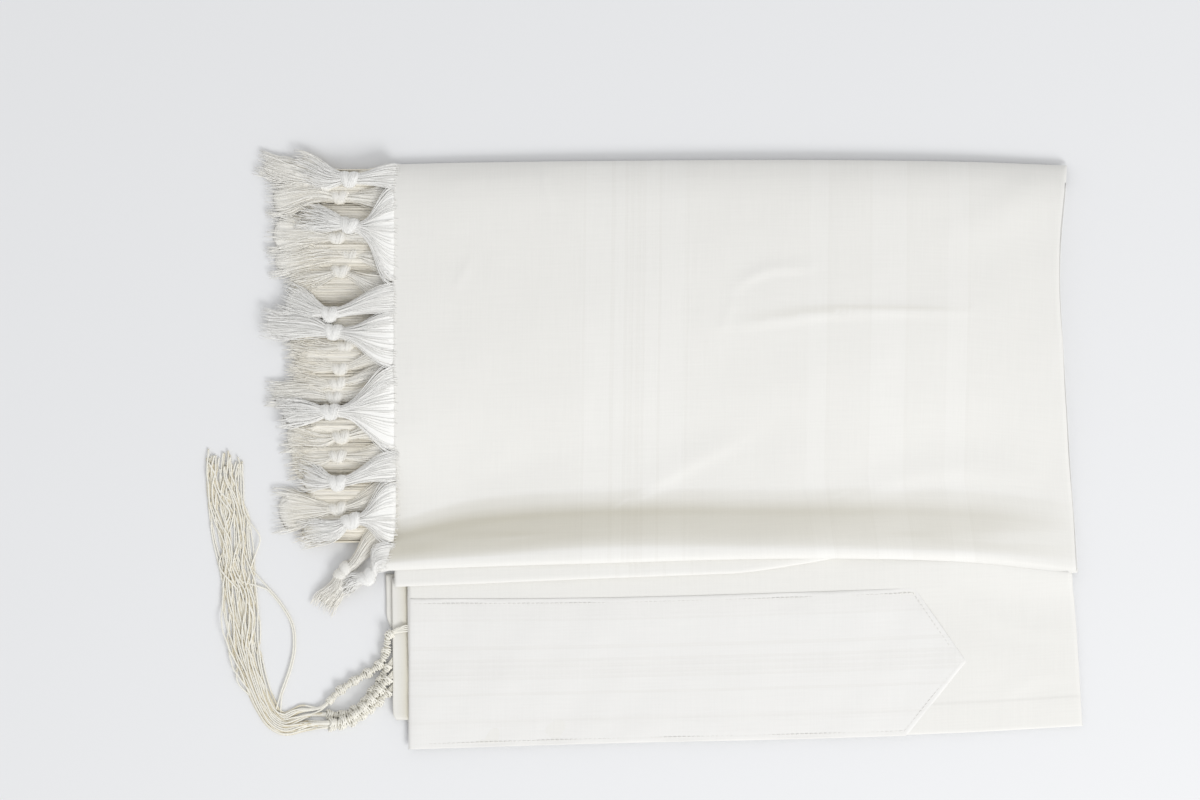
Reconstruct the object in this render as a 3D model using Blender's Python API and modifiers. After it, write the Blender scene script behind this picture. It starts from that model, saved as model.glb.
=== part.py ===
"""A tallit, the Jewish prayer shawl, folded and lying flat.

The shawl is one long cloth with knotted fringes on its two ends, a pointed neckband
sewn to one long side, and a tzitzit on each corner. It is folded at the neck, folded
again in quarters, and then its far side is folded over in panels towards the neckband.

Metres, +Z up, the underside on z = 0. X runs along the neckband, from the fringed ends
at -X to the quarter fold at +X. Y runs from the neckband at -Y to the rear fold at +Y.
"""

import math
from collections import namedtuple

import bmesh
import bpy
from mathutils import Vector

# Walls and clearances
CLOTH = 0.0012  # one stretch of cloth
BAND = 0.0010  # neckband
FRINGE = 0.0018  # one layer of knotted fringe
GAP = 0.0003  # between pieces that touch
SLACK = 0.0008  # between the hidden layers and the walls laid over them
FRINGE_GAP = 0.0010  # between the cloth's edge and the fringe

# Heights of what lies under the top panel
NECK_HEIGHT = 0.0049  # top of the neck panel
SECOND_HEIGHT = 0.0090  # top of the second fold
RIDGE_DROP = 0.0016  # ridge at the front of the top panel, below the panel's middle
HIDDEN_LAYERS = 4  # grooves round the hidden layers
GROOVE = 0.0008

# Rolled right-hand edges, where the cloth turns down at the quarter fold
ROLL = 0.0040
ROLL_STEPS = 3
COLUMNS = 14

# Sections of the folded shawl, from the fringed ends (u = 0) to the quarter fold (u = 1):
# y of the hem, of the front of the second fold and of the top panel, of the panel's ridge
# and of the trough behind it, and of the rear fold; the trough's depth, the panel's height.
Section = namedtuple("Section", "u hem second front ridge trough rear depth height")
SECTIONS = (
    Section(0.00, -0.2100, -0.0970, -0.0858, -0.0753, -0.0660, 0.1992, 0.0015, 0.0148),
    Section(0.16, -0.2078, -0.0940, -0.0823, -0.0697, -0.0487, 0.2006, 0.0038, 0.0158),
    Section(0.37, -0.2058, -0.0900, -0.0795, -0.0676, -0.0396, 0.2016, 0.0050, 0.0166),
    Section(0.60, -0.2031, -0.0860, -0.0770, -0.0662, -0.0382, 0.2020, 0.0050, 0.0168),
    Section(0.84, -0.1992, -0.0830, -0.0795, -0.0697, -0.0430, 0.2009, 0.0030, 0.0162),
    Section(1.00, -0.1949, -0.0880, -0.0872, -0.0780, -0.0570, 0.1985, 0.0008, 0.0150),
)

PANEL_LEFT = -0.1943
PANEL_RIGHT = 0.2805

# Side edges of a panel: x of its left and right edge at places across it
Edge = namedtuple("Edge", "y left right")
TOP_EDGES = (
    Edge(-0.0860, -0.2025, 0.2854),
    Edge(-0.0720, -0.1972, 0.2846),
    Edge(-0.0500, -0.1945, 0.2833),
    Edge(-0.0130, PANEL_LEFT, PANEL_RIGHT),
    Edge(0.0600, PANEL_LEFT, 0.2755),
    Edge(0.1280, PANEL_LEFT, 0.2725),
    Edge(0.1990, PANEL_LEFT, 0.2784),
)
NECK_EDGES = (
    Edge(-0.2100, -0.1815, 0.2900),
    Edge(-0.1300, -0.1815, 0.2854),
    Edge(-0.1060, -0.1815, 0.2835),
    Edge(-0.0980, -0.1842, 0.2825),
    Edge(-0.0880, -0.1842, 0.2819),
)
HIDDEN_LEFT = -0.1720  # left edge of the hidden layers under the neck panel
NECK_CLEARANCE = 0.0025  # between the neck panel's rear edge and the layers that rise there

# Neckband: y of its lower and upper edge at places along it, and its pointed end
BandEdge = namedtuple("BandEdge", "x lower upper")
BAND_EDGES = (
    BandEdge(-0.1836, -0.2110, -0.1054),
    BandEdge(-0.0500, -0.2069, -0.1046),
    BandEdge(0.0900, -0.2037, -0.1008),
    BandEdge(0.2077, -0.2000, -0.0962),
)
BAND_LEFT = -0.1836
BAND_POINT = 0.2077  # x of the point
BAND_SHOULDER_LOWER = 0.1655  # x where the lower edge turns to the point
BAND_SHOULDER_UPPER = 0.1713  # x where the upper edge turns to the point
BAND_POINT_SHARE = 0.49  # place of the point across the band
BAND_ROLL = 0.0023  # radius of the band round the neck fold

# Second fold: the strip that shows in front of the top panel
SECOND_LEFT = -0.1865
SECOND_RIGHT = 0.1250
SECOND_CLEARANCE = 0.0004  # to the layers that rise behind it

# Shawl corners that reach out at the left from between the layers
CORNER_RIGHT = HIDDEN_LEFT - 0.0004
CORNER_UPPER = ((-0.1950, -0.0975), (-0.1942, -0.1870), (-0.1925, -0.1900))
CORNER_UPPER_FLOOR = 0.0022
CORNER_LOWER = ((-0.1994, -0.0985), (-0.1988, -0.1180), (-0.1965, -0.1260))

# Fringe: for each row, where it leaves the top panel (v from front to rear), how far its
# upper and lower layer reach, and how far its tips stand forwards or back of its root
FringeRow = namedtuple("FringeRow", "v upper lower spread")
FRINGE_ROWS = (
    FringeRow(0.00, -0.2440, -0.2420, -0.0180),
    FringeRow(0.12, -0.2640, -0.2788, -0.0060),
    FringeRow(0.45, -0.2790, -0.2830, 0.0000),
    FringeRow(0.62, -0.2850, -0.2780, 0.0020),
    FringeRow(0.85, -0.2640, -0.2850, 0.0060),
    FringeRow(1.00, -0.2680, -0.2900, 0.0118),
)
# Fall of a fringe layer: share of its reach, share of its height above its tips
FRINGE_FALL = ((0.0, 1.0), (0.12, 0.93), (0.3, 0.58), (0.52, 0.2), (0.75, 0.05), (1.0, 0.0))
UPPER_ROOT = 0.97  # height of a layer's root, as a share of the panel's edge
LOWER_ROOT = 0.55
UPPER_TIP = 0.0043  # height of a layer's tips
LOWER_TIP = 0.0018

# Tzitzit: each wound cord lies along these points, from the cloth to its last knot
CORD = 0.0044
CORD_STEP = 0.0070  # between points of a cord
WOUND_CORDS = {
    "tzitzit_cord_rear": (
        (-0.1872, -0.1272, 0.0061),
        (-0.1925, -0.1275, 0.0061),
        (-0.1972, -0.1310, 0.0053),
        (-0.1986, -0.1385, 0.0036),
        (-0.2003, -0.1456, 0.0025),
        (-0.2053, -0.1530, 0.0023),
        (-0.2137, -0.1586, 0.0023),
        (-0.2239, -0.1645, 0.0023),
        (-0.2330, -0.1710, 0.0023),
        (-0.2400, -0.1785, 0.0023),
    ),
    "tzitzit_cord_middle": (
        (-0.1975, -0.1522, 0.0026),
        (-0.2004, -0.1575, 0.0023),
        (-0.2039, -0.1642, 0.0023),
        (-0.2083, -0.1698, 0.0023),
        (-0.2137, -0.1770, 0.0023),
        (-0.2200, -0.1826, 0.0023),
        (-0.2268, -0.1862, 0.0023),
        (-0.2340, -0.1874, 0.0023),
        (-0.2410, -0.1868, 0.0023),
    ),
    "tzitzit_cord_upper": (
        (-0.1974, -0.1610, 0.0052),
        (-0.2018, -0.1668, 0.0060),
        (-0.2064, -0.1725, 0.0062),
        (-0.2117, -0.1785, 0.0063),
        (-0.2175, -0.1840, 0.0065),
        (-0.2240, -0.1886, 0.0066),
        (-0.2310, -0.1914, 0.0066),
        (-0.2385, -0.1920, 0.0066),
    ),
    "tzitzit_cord_front": (
        (-0.1975, -0.1700, 0.0023),
        (-0.2018, -0.1748, 0.0023),
        (-0.2065, -0.1797, 0.0023),
        (-0.2118, -0.1845, 0.0023),
        (-0.2178, -0.1887, 0.0023),
        (-0.2245, -0.1922, 0.0023),
        (-0.2318, -0.1945, 0.0023),
        (-0.2395, -0.1950, 0.0023),
    ),
}

# The loose strings below the last knots lie together in one flat swathe
Swathe = namedtuple("Swathe", "x y width height")
STRINGS = (
    Swathe(-0.2450, -0.1868, 0.0200, 0.0062),
    Swathe(-0.2536, -0.1880, 0.0180, 0.0060),
    Swathe(-0.2620, -0.1915, 0.0150, 0.0055),
    Swathe(-0.2704, -0.1938, 0.0135, 0.0052),
    Swathe(-0.2781, -0.1898, 0.0125, 0.0052),
    Swathe(-0.2844, -0.1803, 0.0125, 0.0052),
    Swathe(-0.2893, -0.1691, 0.0125, 0.0050),
    Swathe(-0.2935, -0.1565, 0.0150, 0.0046),
    Swathe(-0.2977, -0.1411, 0.0200, 0.0040),
    Swathe(-0.3005, -0.1201, 0.0240, 0.0036),
    Swathe(-0.3033, -0.0991, 0.0255, 0.0034),
    Swathe(-0.3061, -0.0781, 0.0255, 0.0034),
    Swathe(-0.3082, -0.0571, 0.0260, 0.0034),
    Swathe(-0.3103, -0.0361, 0.0255, 0.0032),
    Swathe(-0.3114, -0.0186, 0.0265, 0.0028),
    Swathe(-0.3121, 0.0000, 0.0270, 0.0022),
)
STRAY_LOOP = (
    (-0.2748, -0.1775, 0.0016),
    (-0.2708, -0.1665, 0.0014),
    (-0.2662, -0.1530, 0.0014),
    (-0.2637, -0.1390, 0.0014),
    (-0.2652, -0.1235, 0.0014),
    (-0.2720, -0.1110, 0.0014),
    (-0.2800, -0.1010, 0.0014),
    (-0.2870, -0.0950, 0.0016),
)
STRAY_LOOP_WIDTH = 0.0026
STRAY_LOOP_STEP = 0.0060


def clear_scene():
    for thing in list(bpy.data.objects):
        bpy.data.objects.remove(thing, do_unlink=True)


def make_material(name, colour, roughness):
    material = bpy.data.materials.new(name)
    material.use_nodes = True
    shader = material.node_tree.nodes["Principled BSDF"]
    shader.inputs["Base Color"].default_value = (*colour, 1.0)
    shader.inputs["Roughness"].default_value = roughness
    shader.inputs["Metallic"].default_value = 0.0
    return material


def between(rows, place):
    """The row of a table at a place between its rows, on smooth curves through them."""
    last = len(rows) - 1
    place = min(max(place, rows[0][0]), rows[last][0])
    k = max(i for i in range(last) if rows[i][0] <= place)
    span = rows[k + 1][0] - rows[k][0]
    t = (place - rows[k][0]) / span

    def slope(i, column):
        low = rows[max(i - 1, 0)]
        high = rows[min(i + 1, last)]
        return (high[column] - low[column]) / (high[0] - low[0]) * span

    values = [place]
    for column in range(1, len(rows[0])):
        start = rows[k][column]
        end = rows[k + 1][column]
        start_slope = slope(k, column)
        end_slope = slope(k + 1, column)
        values.append(
            (2 * t**3 - 3 * t**2 + 1) * start
            + (t**3 - 2 * t**2 + t) * start_slope
            + (3 * t**2 - 2 * t**3) * end
            + (t**3 - t**2) * end_slope
        )
    return type(rows[0])(*values) if hasattr(rows[0], "_fields") else tuple(values)


def smooth_route(points, step):
    """Points at an even step along a smooth curve through a route's points."""
    places = [0.0]
    for a, b in zip(points, points[1:]):
        places.append(places[-1] + (Vector(b) - Vector(a)).length)
    rows = [(place, *point) for place, point in zip(places, points)]
    count = round(places[-1] / step)
    return [Vector(between(rows, places[-1] * i / count)[1:]) for i in range(count + 1)]


def finish(thing, collection, material):
    collection.objects.link(thing)
    thing.data.materials.append(material)


def mesh_object(name, mesh, collection, material):
    mesh.shade_smooth()
    mesh.set_sharp_from_angle(angle=math.radians(35))
    thing = bpy.data.objects.new(name, mesh)
    finish(thing, collection, material)
    return thing


def add_grid_faces(mesh, rows):
    """Faces between rows of vertices, facing up when rows run to +Y and columns to +X."""
    for near, far in zip(rows, rows[1:]):
        for i in range(len(near) - 1):
            mesh.faces.new((near[i], near[i + 1], far[i + 1], far[i]))


def wall_from_grid(name, grid, thickness, collection, material):
    """A cloth wall: the grid is its outer side, and it thickens inwards."""
    shape = bmesh.new()
    rows = [[shape.verts.new(point) for point in row] for row in grid]
    add_grid_faces(shape, rows)
    mesh = bpy.data.meshes.new(name)
    shape.to_mesh(mesh)
    shape.free()
    thing = mesh_object(name, mesh, collection, material)
    solidify = thing.modifiers.new("Wall", "SOLIDIFY")
    solidify.thickness = thickness
    solidify.offset = -1.0
    return thing


def solid_from_grid(name, grid, layers, collection, material):
    """A solid from a grid down to the floor, its sides grooved into layers."""
    shape = bmesh.new()
    rows = [[shape.verts.new(point) for point in row] for row in grid]
    add_grid_faces(shape, rows)
    rim = rows[0][:]
    rim += [row[-1] for row in rows[1:]]
    rim += rows[-1][-2::-1]
    rim += [row[0] for row in rows[-2:0:-1]]
    count = len(rim)
    inward = []
    for i in range(count):
        along = rim[(i + 1) % count].co - rim[i - 1].co
        inward.append(Vector((-along.y, along.x, 0.0)).normalized())
    levels = [(step / (2 * layers), step % 2 == 0) for step in range(1, 2 * layers + 1)]
    above = rim
    for share, grooved in levels:
        ring = []
        for vertex, direction in zip(rim, inward):
            point = vertex.co + direction * (GROOVE if grooved else 0.0)
            point.z = vertex.co.z * (1.0 - share)
            ring.append(shape.verts.new(point))
        for i in range(count):
            j = (i + 1) % count
            shape.faces.new((above[j], above[i], ring[i], ring[j]))
        above = ring
    shape.faces.new(above[::-1])
    mesh = bpy.data.meshes.new(name)
    shape.to_mesh(mesh)
    shape.free()
    return mesh_object(name, mesh, collection, material)


def moved_in(grid, distance):
    """A grid's points moved inwards along the normals of its surface."""
    moved = []
    for r, row in enumerate(grid):
        new_row = []
        for c, point in enumerate(row):
            across = row[min(c + 1, len(row) - 1)] - row[max(c - 1, 0)]
            back = grid[min(r + 1, len(grid) - 1)][c] - grid[max(r - 1, 0)][c]
            new_row.append(point - across.cross(back).normalized() * distance)
        moved.append(new_row)
    return moved


def panel_grid(profile, edges):
    """Points of a panel: its profile at each section, with the right edge rolled down."""
    sections = [between(SECTIONS, i / (COLUMNS - 1)) for i in range(COLUMNS)]
    profiles = [profile(section) for section in sections]
    grid = []
    for place in range(len(profiles[0])):
        row = []
        for section, points in zip(sections, profiles):
            y, z = points[place]
            edge = between(edges, y)
            x = edge.left + (edge.right - ROLL - edge.left) * section.u
            row.append(Vector((x, y, z)))
        end = row[-1]
        drop = min(ROLL, 0.4 * end.z)
        for step in range(1, ROLL_STEPS + 1):
            angle = math.radians(90.0) * step / ROLL_STEPS
            turn = Vector((ROLL * math.sin(angle), 0.0, -drop * (1.0 - math.cos(angle))))
            row.append(end + turn)
        grid.append(row)
    return grid


def top_profile(s):
    """The top panel from its front fold over ridge, trough and middle to the rear fold."""
    ridge = s.height - RIDGE_DROP
    trough = ridge - s.depth
    fold = SECOND_HEIGHT + GAP + 0.0035 * min(0.0, 0.8 - s.u) / 0.2
    return (
        (s.front, fold),
        (s.front, fold + 0.0016),
        (s.front + 0.0028, ridge - 0.0016),
        (s.ridge, ridge),
        ((s.ridge + s.trough) / 2, ridge - 0.42 * s.depth),
        (s.trough, trough),
        (s.trough + 0.018, trough + 0.6 * (s.height - trough)),
        (s.trough + 0.045, s.height - 0.0004),
        (0.070, s.height),
        (0.130, s.height),
        (s.rear - 0.030, s.height - 0.0006),
        (s.rear - 0.015, s.height - 0.0026),
        (s.rear - 0.005, s.height - 0.0062),
        (s.rear, s.height - 0.0100),
        (s.rear, 0.0022),
    )


def neck_profile(s):
    """The neck panel from its hemmed edge back to where the second fold covers it."""
    return (
        (s.hem, NECK_HEIGHT - 0.0008),
        (s.hem + 0.006, NECK_HEIGHT - 0.0001),
        (s.hem + 0.021, NECK_HEIGHT),
        (-0.150, NECK_HEIGHT),
        (-0.107, NECK_HEIGHT),
        (s.front - NECK_CLEARANCE, NECK_HEIGHT),
    )


def hidden_grid(top, neck):
    """The hidden layers: the neck and top panel's points, moved in by wall and gap."""
    lower = moved_in(neck, CLOTH + SLACK)
    for row in lower:
        row[0].x = HIDDEN_LEFT
    for point in lower[-1]:
        point.y += NECK_CLEARANCE + CLOTH + SLACK
    upper = moved_in(top, CLOTH + SLACK)[1:-1]
    for point in upper[-1]:
        point.y -= SLACK
    upper[-1][-1].x -= 2 * SLACK
    return lower + upper


def band_grid(rows=7, columns=12, turns=3):
    """The neckband: rolled round the neck fold at the left, pointed at the right."""
    top = NECK_HEIGHT + GAP + BAND
    grid = []
    for r in range(rows):
        share = r / (rows - 1)
        if share < BAND_POINT_SHARE:
            reach = share / BAND_POINT_SHARE
            end = BAND_SHOULDER_LOWER + (BAND_POINT - BAND_SHOULDER_LOWER) * reach
        else:
            reach = (1.0 - share) / (1.0 - BAND_POINT_SHARE)
            end = BAND_SHOULDER_UPPER + (BAND_POINT - BAND_SHOULDER_UPPER) * reach
        row = []
        for step in range(turns):
            angle = math.radians(90.0) * (1.0 - step / turns)
            x = BAND_LEFT + BAND_ROLL * (1.0 - math.sin(angle))
            row.append((x, top - BAND_ROLL * (1.0 - math.cos(angle))))
        start = BAND_LEFT + BAND_ROLL
        row += [(start + (end - start) * c / (columns - 1), top) for c in range(columns)]
        points = []
        for x, z in row:
            edge = between(BAND_EDGES, x)
            points.append(Vector((x, edge.lower + (edge.upper - edge.lower) * share, z)))
        grid.append(points)
    return grid


def second_fold_grid():
    """The strip of the second fold: a rounded nose in front of the top panel."""
    columns = 12
    floor = NECK_HEIGHT + GAP
    grid = []
    for share, rise in ((0.0, 0.0), (0.0, 0.4), (0.12, 0.8), (0.4, 1.0), (1.0, 1.0)):
        row = []
        for c in range(columns):
            x = SECOND_LEFT + (SECOND_RIGHT - SECOND_LEFT) * c / (columns - 1)
            s = between(SECTIONS, (x - PANEL_LEFT) / (PANEL_RIGHT - PANEL_LEFT))
            rear = s.front - SECOND_CLEARANCE
            y = s.second + (rear - s.second) * share
            z = floor + (SECOND_HEIGHT - floor) * rise
            row.append(Vector((x, y, z)))
        grid.append(row)
    return grid


def fringe_grid(top, layer, root_share, tip_height):
    """One layer of fringe, from the top panel's left edge out and down to the surface."""
    roots = [row[0] for row in top[1:-1]]
    front = roots[0].y
    rear = roots[-1].y
    grid = []
    for root in roots:
        way = between(FRINGE_ROWS, (root.y - front) / (rear - front))
        reach = getattr(way, layer)
        row = []
        for share, left in FRINGE_FALL[::-1]:
            x = root.x - FRINGE_GAP + (reach + FRINGE_GAP - root.x) * share
            y = root.y + way.spread * share
            z = tip_height + (root.z * root_share - tip_height) * left
            row.append(Vector((x, y, z)))
        grid.append(row)
    return grid


def plate(name, outline, floor, collection, material):
    """A flat piece of cloth: an outline, closed at the right, one wall thick."""
    corners = [*outline, (CORNER_RIGHT, outline[-1][1]), (CORNER_RIGHT, outline[0][1])]
    shape = bmesh.new()
    face = shape.faces.new([shape.verts.new((x, y, floor)) for x, y in corners])
    lifted = bmesh.ops.extrude_face_region(shape, geom=[face])["geom"]
    lifted_points = [item for item in lifted if isinstance(item, bmesh.types.BMVert)]
    bmesh.ops.translate(shape, vec=(0.0, 0.0, CLOTH), verts=lifted_points)
    bmesh.ops.recalc_face_normals(shape, faces=shape.faces)
    mesh = bpy.data.meshes.new(name)
    shape.to_mesh(mesh)
    shape.free()
    return mesh_object(name, mesh, collection, material)


def tube(name, points, step, width, collection, material):
    curve = bpy.data.curves.new(name, "CURVE")
    curve.dimensions = "3D"
    curve.bevel_depth = width / 2
    curve.bevel_resolution = 2
    curve.use_fill_caps = True
    route = smooth_route(points, step)
    spline = curve.splines.new("POLY")
    spline.points.add(len(route) - 1)
    for spline_point, place in zip(spline.points, route):
        spline_point.co = (*place, 1.0)
    finish(bpy.data.objects.new(name, curve), collection, material)


def swathe(name, rows, collection, material):
    """Loose strings as one closed body: a low arched ring at each place of a route."""
    sides = 8
    shape = bmesh.new()
    rings = []
    for k, row in enumerate(rows):
        before = rows[max(k - 1, 0)]
        after = rows[min(k + 1, len(rows) - 1)]
        along = Vector((after.x - before.x, after.y - before.y, 0.0)).normalized()
        across = Vector((along.y, -along.x, 0.0))
        ring = []
        for i in range(sides + 1):
            angle = math.pi * i / sides
            offset = across * (-math.cos(angle) * row.width / 2)
            rise = row.height * math.sin(angle) ** 0.6
            ring.append(shape.verts.new((row.x + offset.x, row.y + offset.y, rise)))
        rings.append(ring)
    for ring, following in zip(rings, rings[1:]):
        for i in range(sides + 1):
            j = (i + 1) % (sides + 1)
            shape.faces.new((ring[i], ring[j], following[j], following[i]))
    shape.faces.new(rings[0])
    shape.faces.new(rings[-1][::-1])
    bmesh.ops.recalc_face_normals(shape, faces=shape.faces)
    mesh = bpy.data.meshes.new(name)
    shape.to_mesh(mesh)
    shape.free()
    return mesh_object(name, mesh, collection, material)


def main():
    clear_scene()
    shawl = bpy.data.collections.new("tallit")
    bpy.context.scene.collection.children.link(shawl)
    cloth = make_material("cloth", (0.83, 0.82, 0.78), 0.85)
    band_cloth = make_material("band_cloth", (0.85, 0.84, 0.81), 0.7)
    fringe_yarn = make_material("fringe_yarn", (0.80, 0.78, 0.72), 0.9)
    cord_yarn = make_material("cord_yarn", (0.78, 0.75, 0.66), 0.85)

    top = panel_grid(top_profile, TOP_EDGES)
    neck = panel_grid(neck_profile, NECK_EDGES)
    hidden = hidden_grid(top, neck)
    solid_from_grid("shawl_hidden_layers", hidden, HIDDEN_LAYERS, shawl, cloth)
    wall_from_grid("shawl_top_panel", top, CLOTH, shawl, cloth)
    wall_from_grid("shawl_neck_panel", neck, CLOTH, shawl, cloth)
    wall_from_grid("shawl_second_fold", second_fold_grid(), CLOTH, shawl, cloth)
    plate("shawl_corner_upper", CORNER_UPPER, CORNER_UPPER_FLOOR, shawl, cloth)
    plate("shawl_corner_lower", CORNER_LOWER, 0.0, shawl, cloth)
    wall_from_grid("atarah_neckband", band_grid(), BAND, shawl, band_cloth)
    upper = fringe_grid(top, "upper", UPPER_ROOT, UPPER_TIP)
    wall_from_grid("fringe_upper", upper, FRINGE, shawl, fringe_yarn)
    lower = fringe_grid(top, "lower", LOWER_ROOT, LOWER_TIP)
    solid_from_grid("fringe_lower", lower, 1, shawl, fringe_yarn)
    for name, points in WOUND_CORDS.items():
        tube(name, points, CORD_STEP, CORD, shawl, cord_yarn)
    swathe("tzitzit_strings", STRINGS, shawl, cord_yarn)
    tube("tzitzit_stray_loop", STRAY_LOOP, STRAY_LOOP_STEP, STRAY_LOOP_WIDTH, shawl, cord_yarn)


main()
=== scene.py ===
import math
from collections import namedtuple

import bpy
import numpy as np
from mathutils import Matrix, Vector


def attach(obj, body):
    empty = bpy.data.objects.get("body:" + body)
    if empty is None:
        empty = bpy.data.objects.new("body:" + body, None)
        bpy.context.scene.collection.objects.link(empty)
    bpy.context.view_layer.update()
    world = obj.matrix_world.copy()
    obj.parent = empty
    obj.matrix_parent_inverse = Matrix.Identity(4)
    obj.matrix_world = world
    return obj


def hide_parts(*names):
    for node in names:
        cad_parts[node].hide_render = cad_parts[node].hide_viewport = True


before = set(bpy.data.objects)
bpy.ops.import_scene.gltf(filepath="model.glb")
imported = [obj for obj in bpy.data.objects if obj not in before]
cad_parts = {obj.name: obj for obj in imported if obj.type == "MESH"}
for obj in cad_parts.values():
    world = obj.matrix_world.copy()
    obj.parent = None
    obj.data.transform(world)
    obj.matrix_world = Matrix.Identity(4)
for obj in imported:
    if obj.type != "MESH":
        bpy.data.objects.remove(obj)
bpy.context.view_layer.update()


# Table, lamp and camera.
# The shawl lies on a plain pale table. A large soft lamp stands low at its front right,
# and the camera hangs straight above it.
CAMERA_HEIGHT = 2.2
CAMERA_SEES = 0.84  # width of what the camera sees, at the shawl's mean height
MEAN_HEIGHT = 0.008
VIEW_CENTRE = (-0.0492, 0.034)
SENSOR = 36.0

scene = bpy.context.scene
camera = bpy.data.objects.new("camera", bpy.data.cameras.new("camera"))
camera.data.sensor_width = SENSOR
camera.data.lens = SENSOR * (CAMERA_HEIGHT - MEAN_HEIGHT) / CAMERA_SEES
camera.location = (*VIEW_CENTRE, CAMERA_HEIGHT)
scene.collection.objects.link(camera)
scene.camera = camera
scene.view_settings.view_transform = "Standard"

LAMP_PLACE = Vector((1.3, -2.05, 1.95))
LAMP_AIM = Vector((0.1, 0.05, 0.0))
LAMP_SIZE = (1.4, 1.15)
LAMP_POWER = 46.0
lamp = bpy.data.objects.new("window_lamp", bpy.data.lights.new("window_lamp", "AREA"))
lamp.data.shape = "RECTANGLE"
lamp.data.size = LAMP_SIZE[0]
lamp.data.size_y = LAMP_SIZE[1]
lamp.data.energy = LAMP_POWER
lamp.location = LAMP_PLACE
lamp.rotation_euler = (LAMP_AIM - LAMP_PLACE).to_track_quat("-Z", "Y").to_euler()
scene.collection.objects.link(lamp)

world = bpy.data.worlds.new("studio")
scene.world = world
world.use_nodes = True
sky = world.node_tree.nodes["Background"]
sky.inputs["Color"].default_value = (0.985, 0.99, 1.0, 1.0)
sky.inputs["Strength"].default_value = 0.71


def connect(tree, node, sockets):
    """Links or sets a node's sockets, given by name or by number."""
    for name, value in dict(sockets).items():
        if isinstance(value, bpy.types.NodeSocket):
            tree.links.new(value, node.inputs[name])
        else:
            node.inputs[name].default_value = value
    return node


def finish_of(name, colour, roughness, sheen=0.0, specular=0.3):
    """A new material; the values that are the same all over it are set on its shader."""
    made = bpy.data.materials.new(name)
    made.use_nodes = True
    tree = made.node_tree
    values = {
        "Base Color": (*colour, 1.0),
        "Roughness": roughness,
        "Specular IOR Level": specular,
        "Sheen Weight": sheen,
        "Sheen Roughness": 0.5,
    }
    return made, tree, connect(tree, tree.nodes["Principled BSDF"], values)


bpy.ops.object.select_all(action="DESELECT")
bpy.ops.mesh.primitive_plane_add(size=8.0, location=(0.0, 0.0, -0.0002))
table_top = bpy.context.object
table_top.name = "table_top"
table_top.data.materials.append(finish_of("table_top", (0.84, 0.845, 0.855), 0.75, specular=0.2)[0])


# Wound cords of the tzitzit.
# Each of the four corners has four wool strings pulled through it and doubled: seven ends
# lie straight, the eighth is wound round them, and double knots part the windings.
WHOLE_TURN = 2.0 * math.pi
STRING = 0.0013  # thickness of one string
ENDS_A_CORD = 8
# wound_from: the share of it that is left bare at its start; lane: where its strings begin in
# their swathe, from -1 to 1 across it; start and rest: where it leaves the cloth and lies down
Cord = namedtuple("Cord", "name wound_from lane start rest points")
WOUND_CORDS = (
    Cord("rear", 0.115, 0.78, (-0.1842, -0.1262, 0.0032), (-0.1866, -0.1262, 0.0054), (
        (-0.1872, -0.1272, 0.0061), (-0.1925, -0.1275, 0.0061), (-0.1972, -0.1310, 0.0053),
        (-0.1986, -0.1385, 0.0036), (-0.2003, -0.1456, 0.0025), (-0.2053, -0.1530, 0.0023),
        (-0.2137, -0.1586, 0.0023), (-0.2239, -0.1645, 0.0023), (-0.2330, -0.1710, 0.0023),
        (-0.2400, -0.1785, 0.0023),
    )),
    Cord("middle", 0.0, 0.20, (-0.1905, -0.1470, 0.0014), (-0.1940, -0.1492, 0.0014), (
        (-0.1975, -0.1522, 0.0026), (-0.2004, -0.1575, 0.0023), (-0.2039, -0.1642, 0.0023),
        (-0.2083, -0.1698, 0.0023), (-0.2137, -0.1770, 0.0023), (-0.2200, -0.1826, 0.0023),
        (-0.2268, -0.1862, 0.0023), (-0.2340, -0.1874, 0.0023), (-0.2410, -0.1868, 0.0023),
    )),
    Cord("upper", 0.0, -0.25, (-0.1905, -0.1560, 0.0016), (-0.1940, -0.1585, 0.0020), (
        (-0.1974, -0.1610, 0.0052), (-0.2018, -0.1668, 0.0060), (-0.2064, -0.1725, 0.0062),
        (-0.2117, -0.1785, 0.0063), (-0.2175, -0.1840, 0.0065), (-0.2240, -0.1886, 0.0066),
        (-0.2310, -0.1914, 0.0066), (-0.2385, -0.1920, 0.0066),
    )),
    Cord("front", 0.0, -0.72, (-0.1905, -0.1660, 0.0014), (-0.1940, -0.1675, 0.0014), (
        (-0.1975, -0.1700, 0.0023), (-0.2018, -0.1748, 0.0023), (-0.2065, -0.1797, 0.0023),
        (-0.2118, -0.1845, 0.0023), (-0.2178, -0.1887, 0.0023), (-0.2245, -0.1922, 0.0023),
        (-0.2318, -0.1945, 0.0023), (-0.2395, -0.1950, 0.0023),
    )),
)


def smooth(rows, places):
    """Rows of a table at places between them, on smooth curves through them."""
    rows = np.array(rows, float)
    at = rows[:, 0]
    places = np.clip(places, at[0], at[-1])
    k = np.clip(np.searchsorted(at, places, side="right") - 1, 0, len(at) - 2)
    before = np.maximum(k - 1, 0)
    after = np.minimum(k + 2, len(at) - 1)
    span = (at[k + 1] - at[k])[:, None]
    t = (places - at[k])[:, None] / span
    start = (rows[k + 1] - rows[before]) / (at[k + 1] - at[before])[:, None] * span
    end = (rows[after] - rows[k]) / (at[after] - at[k])[:, None] * span
    return (
        (2 * t**3 - 3 * t**2 + 1) * rows[k]
        + (t**3 - 2 * t**2 + t) * start
        + (3 * t**2 - 2 * t**3) * rows[k + 1]
        + (t**3 - t**2) * end
    )


def lengths_along(points):
    """How far along a line each of its points lies."""
    steps = np.linalg.norm(np.diff(points, axis=0), axis=1)
    return np.concatenate([[0.0], np.cumsum(steps)])


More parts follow.
